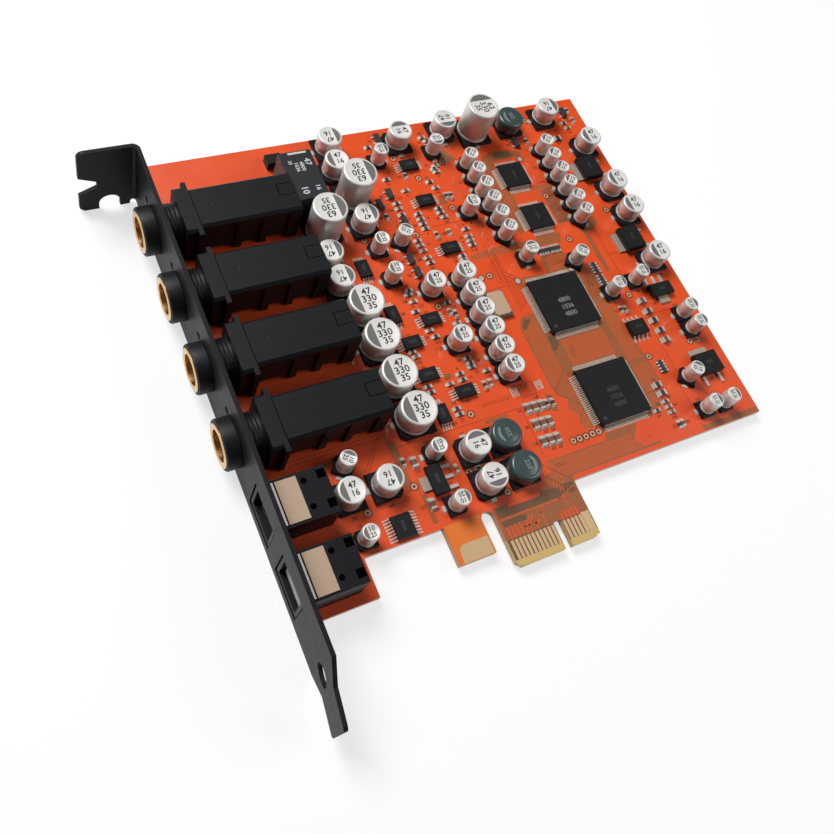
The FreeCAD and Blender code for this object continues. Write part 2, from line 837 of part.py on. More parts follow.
node("chips_eight", group("chips_eight", eights))
node("chip_amplifier", chip("chip_amplifier", 43.1, 41.4, 4.9, 3.9, 1.5))
leads += lead_row(43.1, 41.4, size(1.95), 4, "coarse_pitch", "coarse_lead", "y")
node("chip_sixteen", chip("chip_sixteen", -32.0, 15.7, 4.4, 5.0, 1.1))
leads += lead_row(-32.0, 15.7, size(2.2), 8, "fine_pitch", "fine_lead", "x")
node("chip_leads", group("chip_leads", leads))

# Power parts and the clock

chokes, choke_feet = [], []
for x, y in ((-3.7, 26.0), (-2.9, 18.2), (38.8, 105.2)):
    half = size("choke_base") / 2
    choke_feet.append(block("choke_foot", (x - half, x + half), (y - half, y + half), (0, "choke_foot")))
    chokes.append(facet_rod("choke", "z", "choke_radius", "choke_foot", "choke_top", (x, y), 16))
node("chokes", group("chokes", chokes))
node("choke_feet", group("choke_feet", choke_feet))

half_wide, half_long, rim = sizes("crystal_wide crystal_long crystal_rim")
half_wide, half_long = half_wide / 2, half_long / 2
clock = (11.2, 56.5)
node("clock_base", block("clock_base", (clock[0] - half_wide, clock[0] + half_wide),
                         (clock[1] - half_long, clock[1] + half_long), (0, "crystal_foot")))
node("clock_lid", block("clock_lid", (clock[0] - half_wide + rim, clock[0] + half_wide - rim),
                        (clock[1] - half_long + rim, clock[1] + half_long - rim),
                        ("crystal_foot", "crystal_top")))


def power_part(x, y, turn, long, wide, top, tab_wide, tab_out, leads):
    """Case, tab and leads of a regulator. Turn is the side its tab faces."""
    def spans(along, across):
        if turn == "-x":
            return (x - along[1], x - along[0]), (y + across[0], y + across[1])
        if turn == "+y":
            return (x + across[0], x + across[1]), (y + along[0], y + along[1])
        return (x + across[0], x + across[1]), (y - along[1], y - along[0])
    half, side = size(long) / 2, size(wide) / 2
    case = block("power_case", *spans((-half, half), (-side, side)), ("power_tab", top))
    tab = block("power_tab", *spans((-half * 0.5, half + tab_out), (-tab_wide / 2, tab_wide / 2)),
                (0, "power_tab"))
    legs = [
        block("power_leg", *spans((-half - 2.4, -half), (middle - 0.35, middle + 0.35)), (0, "power_tab"))
        for middle in leads
    ]
    return case, tab, legs


cases, tabs, legs = [], [], []
for spot in (
    (55.1, 87.4, "-x", "power_long", "power_wide", "power_top", 5.3, 1.6, (-2.28, 2.28)),
    (55.1, 64.6, "-x", "power_long", "power_wide", "power_top", 5.3, 1.6, (-2.28, 2.28)),
    (55.6, 27.5, "+y", "power_long", "power_wide", "power_top", 5.3, 1.6, (-2.28, 2.28)),
    (55.2, 49.2, "-y", 3.5, 6.5, 1.7, 3.0, 1.7, (-2.3, 0, 2.3)),
    (-21.4, 22.2, "-x", 3.5, 6.5, 1.7, 3.0, 1.7, (-2.3, 0, 2.3)),
):
    case, tab, more = power_part(*spot)
    cases.append(case)
    tabs.append(tab)
    legs += more
node("power_cases", group("power_cases", cases))
node("power_tabs", group("power_tabs", tabs))
node("power_legs", group("power_legs", legs))

# Chip resistors and chip capacitors, then the small three-lead cases

chip_long, chip_wide, chip_high = sizes("chip_small_long chip_small_wide chip_small_high")
big_long, big_wide, big_high = sizes("chip_big_long chip_big_wide chip_big_high")
array_long, array_wide = sizes("array_long array_wide")
SMALL = {
    "chips_along_x": (chip_long, chip_wide, chip_high, [
        (14.2, 106.4), (15.1, 105.2), (-1.0, 106.1), (14.0, 97.4), (13.5, 95.6), (10.3, 93.1),
        (11.1, 91.1), (-0.3, 96.0), (3.1, 91.9), (-0.7, 88.8), (-0.8, 87.3), (-0.8, 85.5),
        (9.5, 82.6), (-0.1, 77.7), (0.0, 76.3), (0.1, 74.8), (0.3, 72.8), (0.4, 71.3),
        (13.3, 78.1), (13.1, 76.1), (12.9, 73.5), (9.0, 71.2), (9.0, 69.2), (-8.0, 65.6),
        (-8.1, 62.7), (-8.7, 60.1), (-0.5, 60.4), (-7.6, 54.8), (-6.9, 53.0), (-13.9, 42.2),
        (-13.8, 40.8), (-2.1, 43.8), (-9.9, 35.6), (-9.8, 34.2), (9.1, 85.3), (9.1, 84.0),
        (3.3, 84.8), (3.3, 83.3), (3.3, 81.9), (3.3, 80.5), (13.2, 96.6), (13.0, 74.8),
        (8.9, 70.2), (-8.5, 64.6), (-0.4, 54.9), (-13.8, 50.9), (-13.4, 49.6), (-2.1, 46.1),
        (-2.0, 44.8), (-5.5, 43.0), (-5.5, 41.5), (1.0, 42.0), (-8.8, 41.4), (56.6, 103.4),
        (57.0, 101.7), (39.9, 22.3), (40.0, 20.9), (40.1, 19.5), (36.5, 20.9)]),
    "chips_along_y": (chip_wide, chip_long, chip_high, [
        (-4.7, 85.8), (12.8, 88.3), (5.3, 78.2), (8.7, 78.2), (0.3, 57.2), (-26.3, 28.0),
        (-16.0, 23.2), (10.9, 30.6), (12.4, 30.4), (4.9, 96.1), (14.0, 88.2), (-0.8, 58.0),
        (-1.1, 38.9), (0.3, 39.0), (40.1, 16.1), (41.2, 16.2), (42.0, 47.2), (43.3, 47.0),
        (59.8, 107.3), (59.9, 103.9), (42.5, 99.8)]),
    "chips_big_x": (big_long, big_wide, big_high, [
        (48.8, 47.9), (48.9, 44.9), (49.0, 42.2), (49.2, 39.3), (49.2, 36.6), (40.1, 26.6),
        (40.2, 24.4), (51.9, 98.9)]),
    "chips_big_y": (big_wide, big_long, big_high, [
        (5.8, 30.8), (7.6, 30.7), (9.4, 30.6), (5.8, 26.8), (7.6, 26.7), (9.4, 26.6), (5.6, 22.7),
        (7.4, 22.6), (9.2, 22.5), (-24.2, 27.3), (-24.2, 17.9)]),
    "resistor_arrays": (array_wide, array_long, chip_high, [
        (41.3, 59.6), (41.4, 56.0), (44.1, 30.5)]),
}
for name, (long, wide, high, spots) in SMALL.items():
    node(name, group(name, [
        block("small_chip", (x - long / 2, x + long / 2), (y - wide / 2, y + wide / 2), (0, high))
        for x, y in spots]))
node("small_cases", group("small_cases", [
    block("small_case", (x - 0.7, x + 0.7), (y - 1.45, y + 1.45), (0.1, 1.1))
    for x, y in (
        (2.3, 107.9), (-1.5, 91.6), (-5.1, 89.2), (-1.1, 82.9), (-4.1, 73.3), (-3.9, 69.4),
        (39.0, 99.8), (57.9, 106.6))]))

doc.recompute()
for item in doc.Objects:
    if "Invalid" in item.State or "Error" in item.State:
        raise SystemExit("not built: " + item.Label)
for name, item in nodes.items():
    shape = item.Shape
    if shape.isNull() or not shape.isValid() or not shape.Solids:
        raise SystemExit("bad shape: " + name)
    shape.exportStep("parts/%s.step" % name)
print(len(nodes), "pieces written")
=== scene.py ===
import bmesh
import bpy
import math
import random
from mathutils import Euler, Matrix, Vector


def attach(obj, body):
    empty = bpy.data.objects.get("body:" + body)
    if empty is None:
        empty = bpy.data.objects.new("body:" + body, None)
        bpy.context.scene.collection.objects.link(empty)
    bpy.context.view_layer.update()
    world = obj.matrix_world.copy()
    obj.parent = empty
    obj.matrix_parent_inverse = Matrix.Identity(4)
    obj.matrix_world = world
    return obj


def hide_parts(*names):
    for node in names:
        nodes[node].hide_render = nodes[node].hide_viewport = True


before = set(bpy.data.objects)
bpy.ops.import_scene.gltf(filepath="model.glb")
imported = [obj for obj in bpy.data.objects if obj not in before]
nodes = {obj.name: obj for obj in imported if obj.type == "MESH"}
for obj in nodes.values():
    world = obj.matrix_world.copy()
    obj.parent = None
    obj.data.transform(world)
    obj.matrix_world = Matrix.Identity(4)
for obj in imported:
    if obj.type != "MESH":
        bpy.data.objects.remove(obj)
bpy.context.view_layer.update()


MM = 0.001
random.seed(7)


# Shader nodes and shader maths

MIX_UNDER, MIX_OVER, MIX_RESULT = 6, 7, 2


def add_node(tree, kind, settings=None, inputs=None):
    """Add a node, set it up, then give its sockets their values or links."""
    node = tree.nodes.new(kind)
    for name, value in (settings or {}).items():
        setattr(node, name, value)
    for name, value in (inputs or {}).items():
        if isinstance(value, Field):
            tree.links.new(value.socket, node.inputs[name])
        else:
            node.inputs[name].default_value = value
    return node


class Field:
    """An output socket that can be added, scaled and compared as a number is."""

    def __init__(self, socket):
        self.socket = socket

    def math(self, operation, other):
        node = add_node(self.socket.id_data, "ShaderNodeMath", {"operation": operation},
                        {0: self, 1: other})
        return Field(node.outputs[0])

    def __add__(self, other):
        return self.math("ADD", other)

    def __mul__(self, other):
        return self.math("MULTIPLY", other)

    __radd__ = __add__
    __rmul__ = __mul__

    def above(self, edge):
        return self.math("GREATER_THAN", edge)

    def below(self, edge):
        return self.math("LESS_THAN", edge)

    def between(self, low, high):
        return self.above(low) * self.below(high)


class Paint:
    """A material with a Principled shader, and helpers that vary it over the surface."""

    def __init__(self, name, colour, rough=0.5, metal=0.0, coat=0.0, shine=0.5):
        self.material = bpy.data.materials.new(name)
        self.material.use_nodes = True
        self.tree = self.material.node_tree
        self.shader = self.tree.nodes["Principled BSDF"]
        self.rough = rough
        self.colour = (*colour, 1.0)
        self.shader.inputs["Base Color"].default_value = self.colour
        self.shader.inputs["Metallic"].default_value = metal
        self.shader.inputs["Coat Weight"].default_value = coat
        self.shader.inputs["Specular IOR Level"].default_value = shine

    def link(self, name, field):
        self.tree.links.new(field.socket, self.shader.inputs[name])

    def place(self):
        """Object coordinates as one vector."""
        return Field(add_node(self.tree, "ShaderNodeTexCoord").outputs["Object"])

    def coordinates(self):
        """Object coordinates as three numbers, in metres."""
        split = add_node(self.tree, "ShaderNodeSeparateXYZ", inputs={0: self.place()})
        return [Field(part) for part in split.outputs]

    def blend(self, factor, colour):
        """Lay another colour over the base where factor is one."""
        mixed = add_node(self.tree, "ShaderNodeMix", {"data_type": "RGBA"},
                         {0: factor, MIX_UNDER: self.colour, MIX_OVER: (*colour, 1.0)})
        self.colour = Field(mixed.outputs[MIX_RESULT])
        self.link("Base Color", self.colour)

    def grain(self, scale, spread, colour=None, amount=0.3):
        """Uneven roughness, and an uneven colour if one is given."""
        noise = add_node(self.tree, "ShaderNodeTexNoise",
                         inputs={"Vector": self.place(), "Scale": scale, "Detail": 3.0})
        speckle = Field(noise.outputs[0])
        self.link("Roughness", speckle * spread + (self.rough - spread / 2))
        if colour is not None:
            self.blend(speckle * amount, colour)


def paint(name, colour, rough=0.5, metal=0.0, coat=0.0, shine=0.5, scale=900.0, spread=0.12,
          other=None, amount=0.3):
    made = Paint(name, colour, rough, metal, coat, shine)
    made.grain(scale, spread, other, amount)
    return made.material


def cover(material, *names):
    """Give CAD nodes their material."""
    for name in names:
        mesh = nodes[name].data
        mesh.materials.clear()
        mesh.materials.append(material)


# Meshes, built in millimetres

HERE = Matrix.Identity(4)


def template(build):
    """A mesh kept for stamping."""
    bm = bmesh.new()
    build(bm)
    mesh = bpy.data.meshes.new("template")
    bm.to_mesh(mesh)
    bm.free()
    return mesh


def stamp(bm, mesh, matrix, mat=None):
    """Copy a mesh in at a place, all in one material if mat is given."""
    start, first = len(bm.verts), len(bm.faces)
    bm.from_mesh(mesh)
    bm.verts.ensure_lookup_table()
    bmesh.ops.transform(bm, matrix=matrix, verts=bm.verts[start:])
    if mat is not None:
        bm.faces.ensure_lookup_table()
        for face in bm.faces[first:]:
            face.material_index = mat


def stamp_once(bm, build, matrix=HERE, mat=None):
    """Build a shape in a mesh of its own, where its operators touch nothing else, and stamp it."""
    mesh = template(build)
    stamp(bm, mesh, matrix, mat)
    bpy.data.meshes.remove(mesh)


def box(bm, x, y, z, mat=0):
    made = bmesh.ops.create_cube(bm, size=1.0)["verts"]
    scale = Matrix.Diagonal((x[1] - x[0], y[1] - y[0], z[1] - z[0], 1.0))
    shift = Matrix.Translation(((x[0] + x[1]) / 2, (y[0] + y[1]) / 2, (z[0] + z[1]) / 2))
    bmesh.ops.transform(bm, matrix=shift @ scale, verts=made)
    for face in {face for vert in made for face in vert.link_faces}:
        face.material_index = mat


def draw_in(verts, middle, inset):
    """Move vertices towards the middle, by inset along x and along y."""
    for vert in verts:
        for axis in (0, 1):
            away = vert.co[axis] - middle[axis]
            vert.co[axis] -= math.copysign(min(inset, abs(away)), away)


def extrude(bm, corners, way):
    """Push a flat outline out into a closed solid, and give the vertices of its far end."""
    face = bm.faces.new([bm.verts.new(corner) for corner in corners])
    made = bmesh.ops.extrude_face_region(bm, geom=[face])["geom"]
    far = [item for item in made if isinstance(item, bmesh.types.BMVert)]
    bmesh.ops.translate(bm, vec=way, verts=far)
    bmesh.ops.recalc_face_normals(bm, faces=bm.faces)
    return far


def prism(bm, points, low, high, mat=0, inset=0.0):
    """Straight-sided solid over a flat outline, its top drawn in by inset."""
    middle = [sum(point[axis] for point in points) / len(points) for axis in (0, 1)]

    def build(own):
        top = extrude(own, [(x, y, low) for x, y in points], (0, 0, high - low))
        draw_in(top, middle, inset)

    stamp_once(bm, build, mat=mat)


def lathe(bm, profile, steps, mats=(0,), matrix=HERE):
    """Spin a profile of (radius, height) points about z. Each stretch takes its own material."""
    def build(own):
        for index, ends in enumerate(zip(profile, profile[1:])):
            known = set(own.faces)
            corners = [own.verts.new((radius, 0, height)) for radius, height in ends]
            line = own.edges.new(corners)
            bmesh.ops.spin(own, geom=corners + [line], cent=(0, 0, 0), axis=(0, 0, 1),
                           angle=-2 * math.pi, steps=steps, use_merge=True)
            for face in set(own.faces) - known:
                face.material_index = mats[min(index, len(mats) - 1)]
                face.smooth = True
        bmesh.ops.remove_doubles(own, verts=own.verts, dist=0.0001)

    stamp_once(bm, build, matrix)


def at(x, y, z=0.0, degrees=0.0, grow=1.0):
    """A place for stamp, turned about z."""
    turn = Matrix.Rotation(math.radians(degrees), 4, "Z")
    return Matrix.Translation((x, y, z)) @ turn @ Matrix.Scale(grow, 4)


def piece(name, bm, *materials, body="card", slot=None, stands_for=(), smooth=None):
    """Finish a mesh as an object that rides on a body."""
    bmesh.ops.scale(bm, vec=(MM, MM, MM), verts=bm.verts)
    mesh = bpy.data.meshes.new(name)
    bm.to_mesh(mesh)
    bm.free()
    for material in materials:
        mesh.materials.append(material)
    item = bpy.data.objects.new(name, mesh)
    bpy.context.scene.collection.objects.link(item)
    if smooth is not None:
        mesh.shade_smooth()
        mesh.set_sharp_from_angle(angle=math.radians(smooth))
    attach(item, body)
    if stands_for:
        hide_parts(*stands_for)
    return item


def islands(name):
    """Boxes, in millimetres, round each separate solid of a CAD node."""
    mesh = nodes[name].data
    turn = nodes[name].matrix_world
    owner, places, keys = {}, {}, []
    for vert in mesh.vertices:
        spot = turn @ vert.co
        key = tuple(round(value * 1e6) for value in spot)
        keys.append(key)
        owner.setdefault(key, key)
        places[key] = spot / MM

    def root(key):
        while owner[key] != key:
            owner[key] = owner[owner[key]]
            key = owner[key]
        return key

    for edge in mesh.edges:
        owner[root(keys[edge.vertices[0]])] = root(keys[edge.vertices[1]])
    groups = {}
    for key, spot in places.items():
        groups.setdefault(root(key), []).append(spot)
    boxes = []
    for spots in groups.values():
        low = Vector([min(spot[axis] for spot in spots) for axis in range(3)])
        high = Vector([max(spot[axis] for spot in spots) for axis in range(3)])
        boxes.append((low, high))
    return sorted(boxes, key=lambda pair: (round(pair[0].x, 2), round(pair[0].y, 2)))


def letters(text):
    """Flat outline of a short plain number, one unit high and centred."""
    curve = bpy.data.curves.new("number", "FONT")
    curve.body = text
    curve.align_x = "CENTER"
    curve.align_y = "CENTER"
    curve.resolution_u = 2
    curve.offset = 0.018
    item = bpy.data.objects.new("number", curve)
    bpy.context.scene.collection.objects.link(item)
    graph = bpy.context.evaluated_depsgraph_get()
    mesh = bpy.data.meshes.new_from_object(item.evaluated_get(graph))
    bpy.data.objects.remove(item)
    return mesh


# Materials

mask = (0.62, 0.062, 0.010)
mask_light = (0.76, 0.092, 0.016)

steel_paint = paint("bracket_paint", (0.0135, 0.013, 0.0148), 0.44, shine=0.1, spread=0.15)
jack_black = paint("jack_black", (0.009, 0.010, 0.0115), 0.42, shine=0.2, spread=0.14, scale=700.0)
# Near-black for painted shade in the grooves and recesses of the sockets
groove_shade_black = paint("groove_shade_black", (0.001, 0.001, 0.002), 0.9, shine=0.0)
nut_black = paint("nut_black", (0.009, 0.009, 0.012), 0.5, shine=0.22)
brass = paint("brass", (0.76, 0.49, 0.23), 0.28, 1.0)
strip = paint("contact_strip", (0.55, 0.48, 0.35), 0.35, 1.0)
socket_grey = paint("socket_grey", (0.009, 0.009, 0.011), 0.45, shine=0.16)
shield_beige = paint("shield_beige", (0.44, 0.31, 0.22), 0.42, 0.2, other=(0.49, 0.37, 0.265))
shutter_gloss = paint("shutter_gloss", (0.02, 0.02, 0.022), 0.12, coat=0.3)
# Pale grey on the lower shutter is a painted reflection of bright surroundings
shutter_painted_reflection = paint("shutter_painted_reflection", (0.62, 0.63, 0.64), 0.3, coat=0.3)
can_side = paint("can_side", (0.72, 0.70, 0.67), 0.40, 0.4)
can_bead = paint("can_bead", (0.68, 0.66, 0.63), 0.4, 0.3)
can_top = paint("can_top", (0.70, 0.68, 0.65), 0.45, 0.1, other=(0.62, 0.60, 0.58))
can_mark = paint("can_mark", (0.13, 0.125, 0.12), 0.5)
can_print = paint("can_print", (0.022, 0.021, 0.021), 0.5)
base_black = paint("base_black", (0.009, 0.008, 0.010), 0.45, shine=0.2)
tinned = paint("tinned", (0.64, 0.60, 0.535), 0.36, 0.4, other=(0.42, 0.39, 0.35), amount=0.5)
chip_black = paint("chip_black", (0.010, 0.0105, 0.011), 0.5, shine=0.17,
                   other=(0.017, 0.017, 0.018), amount=0.5)
chip_print = paint("chip_print", (0.17, 0.175, 0.18), 0.6)
chip_faint = paint("chip_faint", (0.032, 0.032, 0.036), 0.6)
relay_black = paint("relay_black", (0.018, 0.021, 0.023), 0.42, shine=0.4)
ferrite = paint("ferrite", (0.040, 0.062, 0.062), 0.32, coat=0.25)
ferrite_print = paint("ferrite_print", (0.16, 0.19, 0.19), 0.5)
clock_dark = paint("clock_dark", (0.14, 0.09, 0.06), 0.5)
# One metal on the clock's lid: darker on its sides as painted shade, lighter on its top as painted light
lid_shaded_side = paint("lid_shaded_side", (0.54, 0.36, 0.245), 0.38, 0.2)
lid_lit_top = paint("lid_lit_top", (0.70, 0.56, 0.36), 0.4, 0.2)
tab_tan = paint("tab_tan", (0.44, 0.37, 0.29), 0.38, 0.35)
white_print = paint("white_print", (0.50, 0.50, 0.49), 0.6)
gold = paint("gold", (0.58, 0.39, 0.205), 0.38, 0.25, other=(0.66, 0.46, 0.26))
gold_lip = paint("gold_lip", (0.55, 0.38, 0.13), 0.45, other=(0.45, 0.29, 0.10))
ring_gold = paint("ring_gold", (0.60, 0.34, 0.20), 0.4, 0.3)
ring_dark = paint("ring_dark", (0.20, 0.03, 0.012), 0.45)
# Dark discs in the open holes of the test points are painted shade
hole_shade = paint("hole_shade", (0.05, 0.012, 0.008), 0.6)
ceramic_brown = paint("ceramic_brown", (0.15, 0.075, 0.048), 0.45)
resistor_dark = paint("resistor_dark", (0.035, 0.030, 0.030), 0.45)
mask_groove = paint("mask_groove", (0.36, 0.040, 0.010), 0.42, coat=0.2)
mask_track = paint("mask_track", (0.56, 0.088, 0.020), 0.38, coat=0.25)
mask_patch = paint("mask_patch", mask, 0.38, coat=0.25, scale=240.0, other=mask_light)
bare_brown = paint("bare_brown", (0.255, 0.085, 0.028), 0.42, coat=0.25, scale=300.0,
                   other=(0.34, 0.09, 0.026), amount=0.8)
bare_dark = paint("bare_dark", (0.135, 0.062, 0.028), 0.45, coat=0.2)
amber = paint("amber", (0.62, 0.17, 0.022), 0.4, coat=0.2, scale=240.0,
              other=(0.72, 0.13, 0.018), amount=0.8)
ink = paint("silkscreen", (0.085, 0.016, 0.010), 0.55)

BOARD_THICK = 1.57 * MM
TONGUE_BARE_BELOW = 5.9 * MM
TONGUE_ENDS = (-12.7 * MM, 8.3 * MM)

board = Paint("solder_mask", mask, 0.40, coat=0.25)
x, y, z = board.coordinates()
board.grain(160.0, 0.1, mask_light, 0.5)
cut_edge = z.between(0.01 * MM - BOARD_THICK, -0.01 * MM)
bare_tongue = y.below(TONGUE_BARE_BELOW) * x.between(*TONGUE_ENDS)
board.blend(cut_edge, (0.46, 0.22, 0.07))
board.blend(bare_tongue, (0.52, 0.36, 0.12))
cover(board.material, "circuit_board")
cover(gold, "edge_contacts")
cover(steel_paint, "bracket")
cover(jack_black, *["jack_housing_%d" % number for number in (1, 2, 3, 4)])
cover(brass, "jack_sleeves")
cover(nut_black, "jack_nuts")
cover(strip, "jack_tip_springs", "jack_ring_springs", "jack_ground_lugs")
cover(socket_grey, "optical_housing_1", "optical_housing_2")
cover(shield_beige, "optical_shield_1", "optical_shield_2")
cover(shutter_gloss, "optical_shutter_1")
# The lower shutter is painted pale as a reflection of bright surroundings
cover(shutter_painted_reflection, "optical_shutter_2")
cover(relay_black, "relay_case")
cover(chip_black, "optical_diodes", "diode", "chips_large", "chips_middle", "chips_eight",
      "chip_amplifier", "chip_sixteen", "power_cases", "small_cases")
cover(tinned, "optical_diode_leads", "relay_pins", "chip_leads", "power_legs")
KINDS = ("tall", "low", "medium", "small", "tiny")
cover(can_side, *["capacitor_cans_" + kind for kind in KINDS])
cover(base_black, "choke_feet", *["capacitor_bases_" + kind for kind in KINDS])
cover(ferrite, "chokes")
cover(clock_dark, "clock_base")
cover(lid_shaded_side, "clock_lid")
cover(tab_tan, "power_tabs")
SMALL = ("chips_along_x", "chips_along_y", "chips_big_x", "chips_big_y", "resistor_arrays")
cover(resistor_dark, *SMALL)


# Can capacitors: a crimped can, printed on top, on a chamfered foot

CAN_SIDE, CAN_BEAD, CAN_TOP, CAN_MARK, CAN_PRINT = range(5)
FOOT_BLACK, FOOT_TIN = range(2)
SAME_PLACE = 0.6
DIAGONAL_COLUMNS = (21.7, 44.4)
# The way in which the dark sector points, in degrees, and the cans that have it so
MARKS = {
    0: [(-11.2, 92.4), (-21.7, 84.8), (-11.7, 107.2), (-11.7, 84.5), (50.4, 105.8), (-23.6, 77.1),
        (-23.6, 70.4), (-32.2, 24.6), (-0.7, 101.3), (49.6, 53.5), (41.6, 52.1), (57.4, 41.7),
        (57.3, 37.1), (48.7, 17.5), (54.2, 17.4), (-19.8, 16.1)],
    50: [(48.8, 26.1), (36.6, 62.6), (-4.5, 78.2), (-38.6, 30.9)],
    90: [(28.0, 105.2), (6.5, 105.8), (24.1, 66.6), (-11.4, 25.7)],
    -90: [(19.6, 106.9), (14.6, 101.4), (-11.2, 18.1)],
}


def mark_side(x, y):
    for degrees, spots in MARKS.items():
        if any(abs(x - a) < SAME_PLACE and abs(y - b) < SAME_PLACE for a, b in spots):
            return degrees
    return 135 if min(abs(x - column) for column in DIAGONAL_COLUMNS) < SAME_PLACE else 180


TEXTS = ("330", "35", "63", "47", "16", "220", "25", "10", "4800", "1036")
numbers = {text: letters(text) for text in TEXTS}
# Each line of print on a can: the number, its height and its distance from the middle
PRINT = {
    "tall": (("63", 2.2, 1.8), ("330", 2.2, 0.0), ("35", 2.0, -1.8)),
    "low": (("47", 2.2, 1.8), ("330", 2.3, 0.0), ("35", 2.2, -1.8)),
    "medium": (("47", 1.8, 0.9), ("16", 1.8, -0.8)),
    "small": (("47", 1.7, 0.75), ("25", 1.6, -0.7)),
    "tiny": (("10", 1.4, 0.6), ("25", 1.3, -0.65)),
}
# Share of the solid's diameter, where the photograph shows a slimmer can
SLIM = {"medium": 0.93, "tiny": 0.9}
SECTOR_EDGE = 0.46


def build_can(bm, kind, radius, top):
    edge = 0.15 * min(radius, 3.0)
    groove = 2.0 if radius > 3.5 else 1.75
    deep = 0.08 * radius + 0.06
    lathe(bm, [
        (radius - 0.4, 1.05), (radius - 0.05, 1.15), (radius, 1.3), (radius, groove - 0.15),
        (radius - deep, groove + 0.1), (radius, groove + 0.4), (radius, top - edge),
        (radius - edge * 0.12, top - edge * 0.45), (radius - edge * 0.45, top - edge * 0.12),
        (radius - edge, top), (radius - edge * 1.15, top - 0.03), (0, top - 0.03)],
        32 if radius > 3 else 24, (CAN_BEAD,) * 4 + (CAN_SIDE,) * 3 + (CAN_BEAD,) * 2 + (CAN_TOP,))
    rim = radius - edge * 1.2
    angle = math.acos(SECTOR_EDGE)
    points = [(rim * math.cos(angle * k / 6), rim * math.sin(angle * k / 6)) for k in range(-6, 7)]
    face = bm.faces.new([bm.verts.new((a, b, top - 0.015)) for a, b in points])
    face.material_index = CAN_MARK
    for text, height, across in PRINT[kind]:
        stamp(bm, numbers[text], at(-0.12 * radius, -across, top - 0.008, 180, height), CAN_PRINT)


def build_base(bm, half):
    cut = half * 0.3
    points = [(-half, -half), (half - cut, -half), (half, -half + cut), (half, half - cut),
              (half - cut, half), (-half, half)]
    prism(bm, points, 0.12, 0.85, FOOT_BLACK)
    prism(bm, points, 0.85, 1.1, FOOT_BLACK, 0.15)
    for side in (-1, 1):
        ends = sorted((side * (half - 0.4), side * (half + 0.75)))
        box(bm, ends, (-0.55, 0.55), (0.02, 0.22), FOOT_TIN)
        box(bm, ends, (-0.75, 0.75), (0.005, 0.04), FOOT_TIN)


for kind in KINDS:
    spots = islands("capacitor_cans_" + kind)
    low, high = spots[0]
    radius, top = (high.x - low.x) / 2 * SLIM.get(kind, 1.0), high.z
    foot_low, foot_high = islands("capacitor_bases_" + kind)[0]
    can_mesh = template(lambda bm: build_can(bm, kind, radius, top))
    base_mesh = template(lambda bm: build_base(bm, (foot_high.x - foot_low.x) / 2))
    cans, bases = bmesh.new(), bmesh.new()
    for low, high in spots:
        middle = (low + high) / 2
        degrees = mark_side(middle.x, middle.y)
        stamp(cans, can_mesh, at(middle.x, middle.y, 0, degrees))
        stamp(bases, base_mesh, at(middle.x, middle.y, 0, degrees))
    piece("cans_" + kind, cans, can_side, can_bead, can_top, can_mark, can_print, slot="can_metal",
          stands_for=["capacitor_cans_" + kind])
    piece("feet_" + kind, bases, base_black, tinned, slot="base_plastic",
          stands_for=["capacitor_bases_" + kind])


# Leads and moulded cases

LEAD_THICK = 0.13
LEAD_LEVEL = 0.14
FINE_PITCH = 0.5
PRINT_LIFT = 0.01
PRINT_CLEAR, PRINT_FAINT = range(2)
pads = []


def gull(bm, reach, wide, high, matrix):
    """A lead bent in three flat runs, from the side of its chip towards +x, and the pad under it."""
    ends = ((reach - 0.2, -0.6), (reach + 0.4, -0.6), (reach + 0.4, 0.6), (reach - 0.2, 0.6))
    pads.append([tuple((matrix @ Vector((a, b * wide, 0))).xy) for a, b in ends])
    runs = [(-0.12, high), (reach * 0.3, high), (reach * 0.5, LEAD_LEVEL), (reach, LEAD_LEVEL)]
    outline = runs + [(a, b - LEAD_THICK) for a, b in runs[::-1]]
    corners = [(a, -wide / 2, b) for a, b in outline]
    stamp_once(bm, lambda own: extrude(own, corners, (0, wide, 0)), matrix)


def case(bm, low, high, slope=0.12):
    """Moulded chip body with drafted sides."""
    middle = (low + high) / 2

    def build(own):
        box(own, *zip(low, high))
        parts = own.verts[:] + own.edges[:] + own.faces[:]
        bmesh.ops.bisect_plane(own, geom=parts, plane_co=middle, plane_no=(0, 0, 1))
        ends = [vert for vert in own.verts if abs(vert.co.z - middle.z) > 0.01]
        draw_in(ends, middle, slope)

    stamp_once(bm, build)


bodies = []
for name in ("chips_eight", "chip_amplifier", "chip_sixteen"):
    bodies += islands(name)
leads = bmesh.new()
for low, high in islands("chip_leads"):
    middle = (low + high) / 2
    body = min(bodies, key=lambda pair: ((pair[0] + pair[1]) / 2 - middle).xy.length)
    away = middle - (body[0] + body[1]) / 2
    if high.x - low.x > high.y - low.y:
        start = (low.x, middle.y, 0, 0) if away.x > 0 else (high.x, middle.y, 0, 180)
        gull(leads, high.x - low.x, high.y - low.y, 0.7, at(*start))
    else:
        start = (middle.x, low.y, 0, 90) if away.y > 0 else (middle.x, high.y, 0, -90)
        gull(leads, high.y - low.y, high.x - low.x, 0.7, at(*start))
piece("small_leads", leads, tinned, slot="tinned", stands_for=["chip_leads"])

leads = bmesh.new()
for name, count in (("chips_large", 25), ("chips_middle", 12)):
    for low, high in islands(name):
        middle = (low + high) / 2
        for side in range(4):
            for step in range(count):
                across = (step - (count - 1) / 2) * FINE_PITCH
                place = at(middle.x, middle.y, 0, side * 90) @ at((high.x - low.x) / 2, across)
                gull(leads, 1.0, 0.24, 0.8, place)
piece("fine_leads", leads, tinned, slot="tinned")

